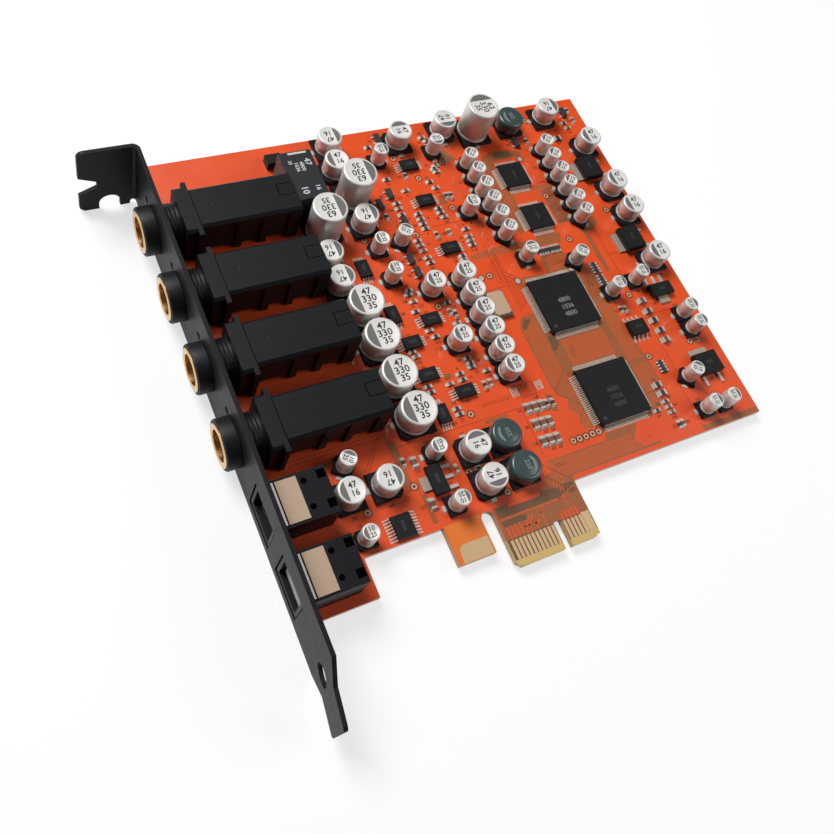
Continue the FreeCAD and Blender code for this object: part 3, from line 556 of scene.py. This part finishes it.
cases, prints = bmesh.new(), bmesh.new()
CASES = ["chips_large", "chips_middle", "chips_eight", "chip_amplifier", "chip_sixteen", "power_cases"]
for name in CASES:
    for low, high in islands(name):
        case(cases, low, high)
        middle = (low + high) / 2
        level = high.z + PRINT_LIFT
        if name == "chips_large":
            mat = PRINT_CLEAR if middle.y > 40 else PRINT_FAINT
            for text, across in (("4800", 0.2), ("1036", -1.7), ("4800", -3.6)):
                stamp(prints, numbers[text], at(middle.x, middle.y + across, level, 0, 1.7), mat)
            lathe(prints, [(0.45, level), (0, level)], 14, (PRINT_FAINT,), at(low.x + 1.3, low.y + 1.3))
        else:
            turn = 90 if high.y - low.y > high.x - low.x else 0
            stamp(prints, numbers["1036"], at(middle.x, middle.y, level, turn, 1.1), PRINT_FAINT)
piece("chip_cases", cases, chip_black, slot="chip_black", stands_for=CASES)
piece("chip_marks", prints, chip_print, chip_faint)


# Chip resistors and ceramic chips: a coloured body between two tinned ends

CHIP_DARK, CHIP_BROWN, CHIP_TIN = range(3)
ARRAYS_ALONG_X = ((30.1, 67.4), (33.5, 67.4))
ARRAY_PITCH = 0.8
CAP_SHARE = 0.24


def build_chip(bm, long, wide, high, tint):
    cap = long * CAP_SHARE
    box(bm, (cap - long / 2, long / 2 - cap), (-wide / 2, wide / 2), (0.05, high - 0.03), tint)
    for side in (-1, 1):
        ends = sorted((side * long / 2, side * (long / 2 - cap)))
        box(bm, ends, (-wide / 2 - 0.02, wide / 2 + 0.02), (0.02, high), CHIP_TIN)
        near, far = side * (long / 2 - 0.1), side * (long / 2 + 0.4)
        solder = [(near, -wide * 0.6), (far, -wide * 0.6), (far, wide * 0.6), (near, wide * 0.6)]
        prism(bm, solder, 0.005, 0.2, CHIP_TIN, 0.12)


def build_array(bm):
    box(bm, (-0.55, 0.55), (-1.6, 1.6), (0.05, 0.5), CHIP_DARK)
    for step in range(4):
        across = (step - 1.5) * ARRAY_PITCH
        for side in (-1, 1):
            ends = sorted((side * 0.5, side * 1.15))
            top = 0.5 if side < 0 else 0.42
            box(bm, ends, (across - 0.23, across + 0.23), (0.01, top), CHIP_TIN)


chips = bmesh.new()
for name in SMALL[:4]:
    low, high = islands(name)[0]
    along_x = high.x - low.x > high.y - low.y
    long, wide = (high.x - low.x, high.y - low.y) if along_x else (high.y - low.y, high.x - low.x)
    made = {tint: template(lambda bm: build_chip(bm, long, wide, high.z, tint))
            for tint in (CHIP_DARK, CHIP_BROWN)}
    for low, high in islands(name):
        middle = (low + high) / 2
        tint = CHIP_BROWN
        if name != "chips_big_y":
            tint = random.choice((CHIP_DARK, CHIP_DARK, CHIP_BROWN))
        stamp(chips, made[tint], at(middle.x, middle.y, 0, 0 if along_x else 90))
array = template(build_array)
for low, high in islands("resistor_arrays"):
    stamp(chips, array, at((low.x + high.x) / 2, (low.y + high.y) / 2))
for a, b in ARRAYS_ALONG_X:
    stamp(chips, array, at(a, b, 0, 90))
for low, high in islands("small_cases"):
    middle = (low + high) / 2
    case(chips, low, high, 0.08)
    for across, side in ((-0.95, -1), (0.95, -1), (0, 1)):
        ends = sorted((middle.x + side * 0.6, middle.x + side * 1.3))
        box(chips, ends, (middle.y + across - 0.2, middle.y + across + 0.2), (0.01, 0.3), CHIP_TIN)
piece("small_chips", chips, resistor_dark, ceramic_brown, tinned, slot="chip_grey",
      stands_for=list(SMALL) + ["small_cases"])


# Chokes, the clock's lid and the relay's print

DRUM, DRUM_PRINT = range(2)
LID_TOP, LID_RIM = range(2)
LID_CUT = 0.5
MARK_ARC = math.radians(50)
MARK_LIFT = 0.012

chokes = bmesh.new()
for low, high in islands("chokes"):
    middle = (low + high) / 2
    radius, top = (high.x - low.x) / 2, high.z
    lathe(chokes, [
        (radius - 0.5, low.z), (radius - 0.1, low.z + 0.15), (radius, low.z + 0.5), (radius, top - 0.7),
        (radius - 0.12, top - 0.3), (radius - 0.4, top - 0.07), (radius - 0.8, top),
        (radius - 0.95, top - 0.05), (radius - 1.1, top), (0, top)], 36, (DRUM,), at(middle.x, middle.y))
    side = 1 if middle.y < 20 else -1
    level = top + MARK_LIFT
    stamp(chokes, numbers["220"], at(middle.x + 0.2, middle.y, level, -90 * side, 1.5), DRUM_PRINT)
    rim = radius - 1.3
    arc = [MARK_ARC * k / 6 for k in range(-6, 7)]
    points = [(rim * math.cos(a), rim * math.sin(a)) for a in arc]
    points += [(rim * (1.3 * math.cos(a * 0.72) - 0.62), rim * 1.1 * math.sin(a * 0.9))
               for a in arc[-2:0:-1]]
    face = chokes.faces.new([
        chokes.verts.new((middle.x + side * a, middle.y + side * b, level)) for a, b in points])
    face.material_index = DRUM_PRINT
piece("choke_drums", chokes, ferrite, ferrite_print, slot="ferrite", stands_for=["chokes"])

low, high = islands("clock_lid")[0]
left, right, near, far = low.x + LID_CUT, high.x - LID_CUT, low.y + LID_CUT, high.y - LID_CUT
outline = [(left, low.y), (right, low.y), (high.x, near), (high.x, far),
           (right, high.y), (left, high.y), (low.x, far), (low.x, near)]
lid = bmesh.new()
# The lid's sides are painted in shade and its top in light
prism(lid, outline, low.z, high.z - 0.12, LID_RIM)
prism(lid, outline, high.z - 0.12, high.z, LID_TOP, 0.14)
piece("clock_cap", lid, lid_shaded_side, lid_lit_top, slot="lid_metal", stands_for=["clock_lid"])

low, high = islands("relay_case")[0]
marks = bmesh.new()
box(marks, (-25.0, -20.6), (high.y - 0.75, high.y - 0.25), (high.z - 0.01, high.z + 0.02))
for text, a, b, tall in (
    ("47", -21.2, 99.0, 2.0), ("4800", -22.8, 98.0, 1.3), ("1036", -24.1, 98.0, 1.3),
    ("25", -25.3, 99.4, 1.1), ("16", -21.4, 91.8, 1.6), ("10", -24.6, 91.6, 2.2),
):
    stamp(marks, numbers[text], at(a, b, high.z + MARK_LIFT, -90, tall))
piece("relay_marks", marks, white_print)


# Jack noses with thread, nut and brass ring, and fine dark lines and patches on the sockets, painted
# shade in their grooves and recesses, with a painted highlight on each optical lip

BORE = 3.25
SLEEVE_BACK, SLEEVE_FRONT = -51.5, -61.5
NUT_BORE = 4.75
THREAD_ROOT, THREAD_CREST, THREAD_PITCH, THREAD_TURNS = 4.66, 4.86, 0.8, 5
THREAD_BACK, THREAD_FRONT = -53.2, -57.5
HOUSING_TOP = 10.2
# Spans along x and across each jack's line of the dark strips painted as shade in the housing top's
# grooves
HOUSING_GROOVE_SHADE = (
    ((-31.3, -27.8), (-1.0, -0.85)), ((-31.3, -27.8), (2.0, 2.15)),
    ((-31.4, -31.2), (-1.0, 2.15)), ((-50.02, -49.9), (-4.4, 4.4)))
OPTICAL_TOP = 8.55
# Materials of the fine marks: painted shade, jack plastic and painted highlight
FINE_SHADE, FINE_JACK, FINE_HIGHLIGHT = range(3)

nuts, rings, threads, fine = bmesh.new(), bmesh.new(), bmesh.new(), bmesh.new()
for low, high in islands("jack_nuts"):
    line, axis = (low.y + high.y) / 2, (low.z + high.z) / 2
    radius = (high.z - low.z) / 2
    aim = Matrix.Translation((0, line, axis)) @ Matrix.Rotation(math.pi / 2, 4, "Y")
    lathe(nuts, [(NUT_BORE, low.x), (radius - 0.35, low.x), (radius - 0.1, low.x + 0.12),
                 (radius, low.x + 0.4), (radius, high.x - 0.15), (radius - 0.15, high.x),
                 (NUT_BORE, high.x), (NUT_BORE, low.x)], 48, matrix=aim)
    front = SLEEVE_FRONT - 0.1
    lathe(rings, [(BORE, SLEEVE_BACK), (BORE, SLEEVE_FRONT), (3.4, front), (4.35, front),
                  (4.5, SLEEVE_FRONT), (4.5, SLEEVE_FRONT + 0.3), (3.9, SLEEVE_FRONT + 0.3),
                  (3.9, SLEEVE_BACK), (BORE, SLEEVE_BACK)], 44, matrix=aim)
    profile = [(THREAD_ROOT, THREAD_BACK)]
    for step in range(THREAD_TURNS):
        start = THREAD_BACK - 0.15 - step * THREAD_PITCH
        profile += [(THREAD_ROOT, start), (THREAD_CREST, start - 0.25),
                    (THREAD_CREST, start - 0.4), (THREAD_ROOT, start - 0.65)]
    profile.append((THREAD_ROOT, THREAD_FRONT))
    lathe(threads, profile[::-1], 40, matrix=aim)
    top = HOUSING_TOP + 0.01
    # Dark strips over the grooves in the housing top are painted shade
    for span, across in HOUSING_GROOVE_SHADE:
        box(fine, span, (line + across[0], line + across[1]), (HOUSING_TOP - 0.02, top), FINE_SHADE)
    lathe(fine, [(0.32, top), (0.2, top + 0.03), (0, top + 0.03)], 12, (FINE_JACK,),
          at(-45.9, line + 0.1))
for low, high in islands("optical_shield_1") + islands("optical_shield_2"):
    line = (low.y + high.y) / 2
    # Dark discs and blocks fill the round and square recesses of the shield as painted shade
    for way, shift in ((1, 2.9), (-1, 2.3)):
        lathe(fine, [(0.64, OPTICAL_TOP), (0, OPTICAL_TOP)], 16, (FINE_SHADE,),
              at(-49.7, line + way * shift))
        middle = line + way * (shift + 0.4)
        box(fine, (-46.89, -45.21), (middle - 0.89, middle + 0.89), (OPTICAL_TOP - 0.15, OPTICAL_TOP),
            FINE_SHADE)
    # A pale strip on the shield's front lip is a painted highlight, and the dark strip behind it is
    # painted shade in the lip's groove
    box(fine, (low.x, low.x + 0.45), (low.y, high.y), (high.z - 0.1, high.z + 0.01), FINE_HIGHLIGHT)
    box(fine, (low.x + 0.5, low.x + 0.8), (low.y, high.y), (high.z - 0.14, high.z - 0.1), FINE_SHADE)
piece("nut_rings", nuts, nut_black, slot="jack_black", stands_for=["jack_nuts"], smooth=35)
piece("brass_rings", rings, brass, slot="brass", stands_for=["jack_sleeves"], smooth=35)
piece("nose_threads", threads, nut_black, smooth=40)
piece("painted_shade_and_highlight", fine, groove_shade_black, jack_black, can_bead)


# Board print, in thin layers from the board upward: bare areas, tracks, rings and numbers

art = bmesh.new()
BROWN, TRACK, GROOVE, GOLD, DARK, INK, TIN, MASK, LIP, AMBER, RING, HOLE_SHADE, EDGE = range(13)
BARE_LEVEL, OVER_LEVEL, MASK_LEVEL, VIA_LEVEL, TRACK_LEVEL = 0.006, 0.010, 0.013, 0.014, 0.016
RIM_LEVEL, PAD_LEVEL, RING_LEVEL, INK_LEVEL = 0.018, 0.020, 0.022, 0.026


def patch(points, mat=BROWN, level=BARE_LEVEL):
    """A flat area, facing up whichever way round its points are given."""
    turn = sum(a[0] * b[1] - b[0] * a[1] for a, b in zip(points, points[1:] + points[:1]))
    order = points if turn > 0 else points[::-1]
    face = art.faces.new([art.verts.new((a, b, level)) for a, b in order])
    face.material_index = mat


def track(points, wide=0.2, mat=TRACK):
    for start, end in zip(points, points[1:]):
        start, end = Vector(start), Vector(end)
        along = (end - start).normalized() * wide / 2
        side = Vector((-along.y, along.x))
        corners = (start - along - side, end + along - side, end + along + side, start - along + side)
        patch([tuple(corner) for corner in corners], mat, TRACK_LEVEL)


def bus(points, count, shift, wide=0.2, mat=TRACK):
    """The same track several times over, each moved on by shift."""
    for step in range(count):
        track([(a + shift[0] * step, b + shift[1] * step) for a, b in points], wide, mat)


BARE = [
    [(14.0, 49.5), (15.2, 51.6), (16.5, 52.3), (19.2, 52.3), (19.2, 61.0), (22.0, 62.0), (28.2, 61.2),
     (28.4, 66.0), (35.8, 66.0), (36.2, 61.5), (40.0, 61.5), (40.2, 54.0), (38.5, 52.0), (40.6, 50.5),
     (40.6, 42.0), (41.2, 40.0), (41.2, 36.5), (41.8, 34.6), (41.8, 27.5), (39.6, 24.0), (39.4, 21.6),
     (36.8, 21.6), (35.0, 20.2), (20.0, 20.2), (19.4, 22.0), (17.0, 22.2), (16.6, 24.0),
     (17.2, 26.0), (15.5, 28.0), (16.5, 30.0), (14.4, 31.6), (14.0, 33.5)],
    [(4.4, 18.4), (20.4, 18.4), (21.0, 19.9), (30.0, 19.9), (27.0, 16.2), (29.8, 14.2), (33.4, 14.2),
     (33.4, 13.7), (8.3, 13.7), (8.1, 8.6), (8.1, 5.8), (-12.5, 5.8), (-12.5, 12.9), (0.8, 13.2),
     (2.4, 15.6), (4.4, 16.0)],
    [(26.6, 95.0), (27.6, 97.6), (31.0, 98.7), (36.0, 98.4), (39.4, 97.0), (38.6, 95.8), (30.0, 95.6),
     (30.2, 86.4), (42.8, 86.0), (42.8, 74.0), (38.6, 74.0), (38.4, 85.0), (30.4, 84.6), (30.0, 74.2),
     (26.8, 73.6), (26.4, 77.0)],
    [(16.4, 98.2), (20.6, 98.2), (18.3, 103.0), (16.6, 102.6)],
    [(10.0, 86.1), (12.3, 86.1), (12.3, 88.6), (11.0, 88.4)],
    [(29.8, 68.9), (36.4, 68.9), (37.6, 71.6), (34.0, 72.3), (30.4, 72.0)],
    [(43.2, 70.2), (47.4, 70.2), (49.6, 71.8), (49.4, 74.2), (47.0, 74.0), (46.6, 72.4), (43.2, 72.2)],
    [(44.0, 58.0), (45.4, 58.0), (45.4, 70.2), (44.0, 70.2)],
    [(-27.9, 22.0), (-26.2, 22.0), (-26.2, 33.0), (-27.9, 33.4)],
    [(-25.6, 14.0), (-24.5, 14.0), (-24.5, 20.4), (-25.6, 20.4)],
    [(-5.3, 30.3), (0.8, 30.3), (0.8, 31.2), (-5.0, 31.2)],
    [(46.0, 12.75), (62.9, 12.75), (62.9, 14.1), (46.0, 14.1)],
    [(11.0, 69.4), (30.0, 69.6), (30.0, 71.0), (22.0, 71.9), (11.0, 70.8)],
    [(-9.3, 42.6), (-7.4, 42.6), (-7.4, 43.8), (-9.0, 44.0)],
    [(11.6, 33.0), (13.2, 32.0), (13.0, 28.0), (11.4, 28.6)],
]
for outline in BARE:
    patch(outline)
for outline in (
    [(19.2, 41.8), (19.6, 45.8), (21.4, 46.2), (21.6, 43.4), (20.4, 42.2)],
    [(23.0, 40.4), (23.6, 42.2), (24.6, 42.0), (24.8, 39.8), (23.6, 38.8)],
    [(38.8, 74.4), (42.4, 74.4), (42.6, 85.0), (38.8, 84.6)],
    [(37.0, 55.2), (40.0, 55.2), (40.0, 57.9), (37.2, 57.9)],
    [(-12.0, 10.4), (7.4, 10.4), (7.6, 12.6), (1.0, 12.7), (-12.0, 12.7)],
    [(-11.8, 8.4), (-6.0, 8.4), (-6.0, 9.7), (-11.8, 9.7)],
    [(30.6, 96.4), (36.8, 96.2), (35.4, 98.2), (31.4, 98.2)],
    [(14.6, 49.6), (16.0, 51.4), (17.8, 51.0), (15.4, 48.6)],
    [(5.4, 16.2), (8.4, 16.2), (8.4, 17.4), (5.4, 17.4)],
):
    patch(outline, DARK, OVER_LEVEL)
patch([(-8.9, 12.05), (-0.9, 12.05), (-0.9, 12.95), (-8.9, 12.95)], MASK, MASK_LEVEL)
patch([(28.0, 14.4), (33.4, 14.4), (33.4, 20.1), (31.6, 20.1)], MASK, MASK_LEVEL)

# The hook with its gold pad, and the tongue between the contacts
patch([(-24.0, 4.55), (-15.7, 4.55), (-15.7, 12.9), (-24.0, 12.9)], AMBER)
corner = [(-22.9 + 1.4 * (1 - math.cos(a)), 6.8 + 1.5 * math.sin(a)) for a in (0, 0.4, 0.8, 1.2, 1.57)]
patch([(-16.0, 4.6), (-16.0, 8.3)] + corner[::-1] + [(-23.0, 4.6)], GOLD, OVER_LEVEL)
for left, right in ((-12.5, -0.98), (0.98, 8.1)):
    patch([(left, 0.35), (right, 0.35), (right, 1.5), (left, 1.5)], LIP)
    patch([(left, 1.5), (right, 1.5), (right, 5.8), (left, 5.8)], DARK)
patch([(5.95, 1.45), (7.9, 1.45), (7.9, 5.75), (5.95, 5.75)], GOLD, OVER_LEVEL)

# Tracks that leave the tongue to the right, then the buses round the large chips
for step in range(8):
    level = 14.3 + 0.5 * step
    end = 26.4 + 0.4 * abs(step - 5) if step > 2 else 32.8
    turn = 6.6 - 0.5 * step
    track([(end, level), (turn, level), (turn - 1.6, level - 1.6), (turn - 1.9, level - 3.2)], 0.24)
bus([(14.7, 48.4), (14.7, 33.0), (18.9, 28.8)], 9, (0.5, 0.42))
bus([(16.6, 29.2), (19.0, 26.8), (19.0, 23.0)], 5, (-0.45, -0.45))
bus([(22.4, 37.2), (22.4, 43.9)], 22, (0.56, 0.0), 0.26)
bus([(36.9, 34.4), (36.9, 50.2)], 7, (0.56, 0.0), 0.24)
bus([(36.8, 27.6), (41.4, 27.6)], 9, (0.0, 0.62), 0.24)
bus([(36.6, 22.4), (36.6, 25.6), (38.0, 27.0)], 5, (0.6, 0.0))
bus([(28.8, 61.6), (30.2, 63.0), (30.2, 65.6)], 10, (0.56, 0.1), 0.22)
bus([(36.8, 52.2), (39.4, 54.8), (39.4, 61.0)], 5, (-0.5, 0.5), 0.22)
bus([(19.6, 53.0), (19.6, 60.4)], 4, (0.5, 0.3), 0.22)
bus([(27.0, 78.0), (29.6, 80.6)], 11, (0.0, 1.3), 0.24)
bus([(30.8, 82.2), (42.2, 82.2)], 7, (0.0, 0.55), 0.22)
bus([(39.2, 75.0), (39.2, 84.0)], 6, (0.6, 0.0))
bus([(16.6, 53.6), (16.6, 60.6), (14.6, 62.6), (14.6, 67.6)], 5, (0.7, 0.5), 0.2, GROOVE)
bus([(11.2, 69.7), (29.6, 69.9)], 3, (0.0, 0.5))
bus([(-11.2, 5.9), (-11.2, 8.0)], 4, (1.0, 0.1), 0.42, MASK)
bus([(-7.2, 5.9), (-7.2, 7.2), (-5.6, 8.8)], 2, (1.0, 0.0), 0.36, MASK)
track([(-4.6, 5.9), (-4.6, 7.1), (-3.5, 7.4)], 0.4, MASK)
track([(-2.5, 5.9), (-2.5, 8.8), (-1.4, 9.8)], 0.3)
track([(-11.6, 10.05), (3.0, 10.05), (4.6, 8.4)], 0.26)
bus([(1.6, 5.9), (1.6, 7.3)], 5, (0.95, 0.0), 0.5, MASK)
bus([(3.4, 9.8), (4.8, 11.2), (5.8, 11.2)], 3, (0.8, 0.2))
for points in (
    [(47.6, 75.0), (47.6, 29.0), (46.2, 27.6), (46.2, 12.9)],
    [(-27.9, 36.4), (-27.9, 22.0), (-25.6, 22.0), (-25.0, 14.0)],
    [(-28.6, 35.4), (-49.0, 35.4)], [(-28.6, 34.5), (-49.0, 34.5)],
    [(-29.0, 35.2), (-34.6, 28.6)], [(-28.5, 34.9), (-34.1, 28.2)],
    [(-36.0, 21.0), (-28.0, 21.0)], [(-36.0, 20.4), (-28.0, 20.4)],
    [(-26.0, 31.5), (4.4, 31.5), (4.4, 20.0)],
    [(-3.9, 34.3), (2.9, 34.3), (2.9, 34.8), (-3.9, 34.8), (-3.9, 34.3)],
    [(6.2, 33.6), (6.2, 36.6), (7.3, 36.6), (7.3, 36.1), (8.4, 36.1), (8.4, 36.6), (9.9, 36.6),
     (9.9, 33.6), (6.2, 33.6)],
    [(5.0, 80.7), (14.6, 80.7)], [(2.0, 72.4), (11.0, 72.4)], [(11.0, 80.7), (12.2, 79.6), (12.2, 72.0)],
    [(39.0, 86.6), (42.4, 86.6), (43.4, 85.4)],
    [(-14.0, 82.2), (-5.0, 82.2)], [(-20.0, 66.8), (-14.0, 66.8)],
    [(47.6, 62.4), (50.4, 62.4)], [(48.4, 44.0), (60.0, 44.0)],
    [(10.8, 60.9), (15.6, 60.9)], [(16.9, 73.0), (16.9, 61.5)], [(15.7, 73.0), (15.7, 62.6)],
):
    track(points, 0.16, GROOVE)

TESTS = [(4.1, 101.8), (8.1, 94.8), (16.3, 98.3), (12.8, 84.7), (0.3, 79.5), (-12.6, 81.0),
         (-2.8, 60.0), (13.2, 64.5), (-7.3, 33.5), (-17.5, 32.8), (-13.6, 21.8), (54.2, 74.9),
         (39.1, 69.1), (46.6, 50.4), (42.4, 33.9), (55.7, 34.5), (58.1, 34.2), (-37.5, 20.6),
         (-26.2, 22.6), (-7.5, 15.1), (39.4, 82.6), (12.7, 20.7), (14.4, 20.7), (16.2, 20.7),
         (18.0, 20.8), (19.7, 20.8), (45.8, 106.4)]
FILLED = [(10.9, 64.4), (19.6, 61.4), (38.0, 94.9)]
VIAS = 150


def disc(outer, inner, level, steps, mat):
    """A flat ring for stamping, or a full disc where inner is zero."""
    return template(lambda bm: lathe(bm, [(outer, level), (inner, level)], steps, (mat,)))


rim = disc(1.0, 0.68, RIM_LEVEL, 20, EDGE)
# The open holes of the test points get a dark disc as painted shade; filled ones get tin
for spots, ring_mat, hole_mat in ((TESTS, RING, HOLE_SHADE), (FILLED, TIN, TIN)):
    ring = disc(0.68, 0.3, RING_LEVEL, 20, ring_mat)
    hole = disc(0.3, 0, PAD_LEVEL, 12, hole_mat)
    for a, b in spots:
        for mesh in (rim, ring, hole):
            stamp(art, mesh, at(a, b))
via = disc(0.24, 0.1, VIA_LEVEL, 8, GROOVE)
for count in range(VIAS):
    stamp(art, via, at(random.uniform(-26, 61), random.uniform(15, 108)))
for left in (4.0, 4.5, 5.0, 5.5, 10.5, 11.0, 11.5, 12.0):
    patch([(left, 34.2), (left + 0.28, 34.2), (left + 0.28, 36.4), (left, 36.4)], TIN, VIA_LEVEL)
for corners in pads:
    patch(corners, TIN, PAD_LEVEL)


# Small plain numbers, each in the nearest free place beside its piece

LABELS = 14
LABEL_STEP = 0.7
LABEL_LONG = 1.6
LABEL_SPACE_X, LABEL_SPACE_Y = (-54, 61), (15.0, 108.5)

taken = []
for name in nodes:
    if name not in ("circuit_board", "bracket", "edge_contacts"):
        taken += [(low, high) for low, high in islands(name) if low.z < 3]
labels = [letters(str(random.randint(2, 199))) for count in range(LABELS)]
shifts = [(LABEL_STEP * a, LABEL_STEP * b) for a in range(-6, 7) for b in range(-6, 7)]
shifts.sort(key=lambda way: math.hypot(*way))
wanted = []
for name in SMALL[:4] + ("chips_eight", "small_cases", "power_cases", "chips_middle"):
    wanted += [(low, high, 1.05) for low, high in islands(name)]
for kind in KINDS:
    wanted += [(low, high, 1.15) for low, high in islands("capacitor_bases_" + kind)]
for low, high, tall in wanted:
    middle = (low + high) / 2
    long = tall * LABEL_LONG
    for shift_x, shift_y in shifts:
        a, b = middle.x + shift_x, middle.y + shift_y
        clear = all(a + long / 2 < one.x or a - long / 2 > two.x or
                    b + tall * 0.4 < one.y or b - tall * 0.4 > two.y for one, two in taken)
        inside = LABEL_SPACE_X[0] < a < LABEL_SPACE_X[1] and LABEL_SPACE_Y[0] < b < LABEL_SPACE_Y[1]
        if clear and inside:
            stamp(art, random.choice(labels), at(a, b, INK_LEVEL, 0, tall), INK)
            half = Vector((long / 2, tall / 2, 0))
            taken.append((Vector((a, b, 0)) - half, Vector((a, b, 1)) + half))
            break
piece("board_print", art, bare_brown, mask_track, mask_groove, gold, bare_dark, ink, tinned, mask_patch,
      gold_lip, amber, ring_gold, hole_shade, ring_dark)


# Stage and camera

FLOOR_LEVEL = -2.81 * MM
FLOOR_GLOW = 0.7
SKY_LEAST, SKY_RISE = 0.0065, 0.033


def shown(tree, *kinds):
    """One for rays from the camera and of these kinds, and zero for the rest."""
    rays = add_node(tree, "ShaderNodeLightPath").outputs
    total = Field(rays["Is Camera Ray"])
    for kind in kinds:
        total = total.math("MAXIMUM", Field(rays[kind]))
    return total


scene = bpy.context.scene
world = bpy.data.worlds.new("studio")
scene.world = world
world.use_nodes = True
sky = world.node_tree
toward = Field(add_node(sky, "ShaderNodeTexCoord").outputs["Generated"])
height = Field(add_node(sky, "ShaderNodeSeparateXYZ", inputs={0: toward}).outputs[2])
lit = height.math("MAXIMUM", 0.0) * SKY_RISE + SKY_LEAST
backdrop = sky.nodes["Background"].inputs
backdrop["Color"].default_value = (1.0, 1.0, 1.0, 1.0)
sky.links.new(lit.math("MAXIMUM", shown(sky)).socket, backdrop["Strength"])

floor_mesh = bpy.data.meshes.new("floor")
bm = bmesh.new()
bmesh.ops.create_grid(bm, x_segments=1, y_segments=1, size=3.0)
bm.to_mesh(floor_mesh)
bm.free()
floor = bpy.data.objects.new("floor", floor_mesh)
scene.collection.objects.link(floor)
floor.location = (0, 0, FLOOR_LEVEL)
floor_paint = Paint("floor_white", (0.9, 0.9, 0.9), 0.7)
floor_paint.grain(30.0, 0.05)
tree = floor_paint.tree
glow = add_node(tree, "ShaderNodeEmission", inputs={"Strength": 1.0})
mixed = add_node(tree, "ShaderNodeMixShader", inputs={
    0: shown(tree, "Is Glossy Ray", "Is Transmission Ray") * FLOOR_GLOW,
    1: Field(floor_paint.shader.outputs[0]), 2: Field(glow.outputs[0])})
tree.links.new(mixed.outputs[0], tree.nodes["Material Output"].inputs["Surface"])
floor_mesh.materials.append(floor_paint.material)


def lamp(name, place, aim, power, wide):
    data = bpy.data.lights.new(name, "AREA")
    data.energy = power
    data.size = wide
    item = bpy.data.objects.new(name, data)
    scene.collection.objects.link(item)
    item.location = place
    item.rotation_euler = (Vector(aim) - Vector(place)).to_track_quat("-Z", "Y").to_euler()


lamp("key", (-0.25, 0.45, 0.60), (0, 0.05, 0), 7.0, 0.35)
lamp("fill", (0.45, -0.15, 0.45), (0, 0.05, 0), 1.6, 0.4)

# The place and lens come from a fit to the corners of board and bracket in the photograph
lens = bpy.data.cameras.new("camera")
camera = bpy.data.objects.new("camera", lens)
scene.collection.objects.link(camera)
camera.location = (-0.095044, -0.016382, 0.162809)
camera.rotation_euler = Euler((0.483688, -0.258491, -0.418784), "XYZ")
lens.lens = 38.4072
lens.sensor_width = 36.0
lens.shift_x = 0.026346
lens.shift_y = -0.050156
lens.clip_start = 0.005
scene.camera = camera

scene.view_settings.view_transform = "Standard"
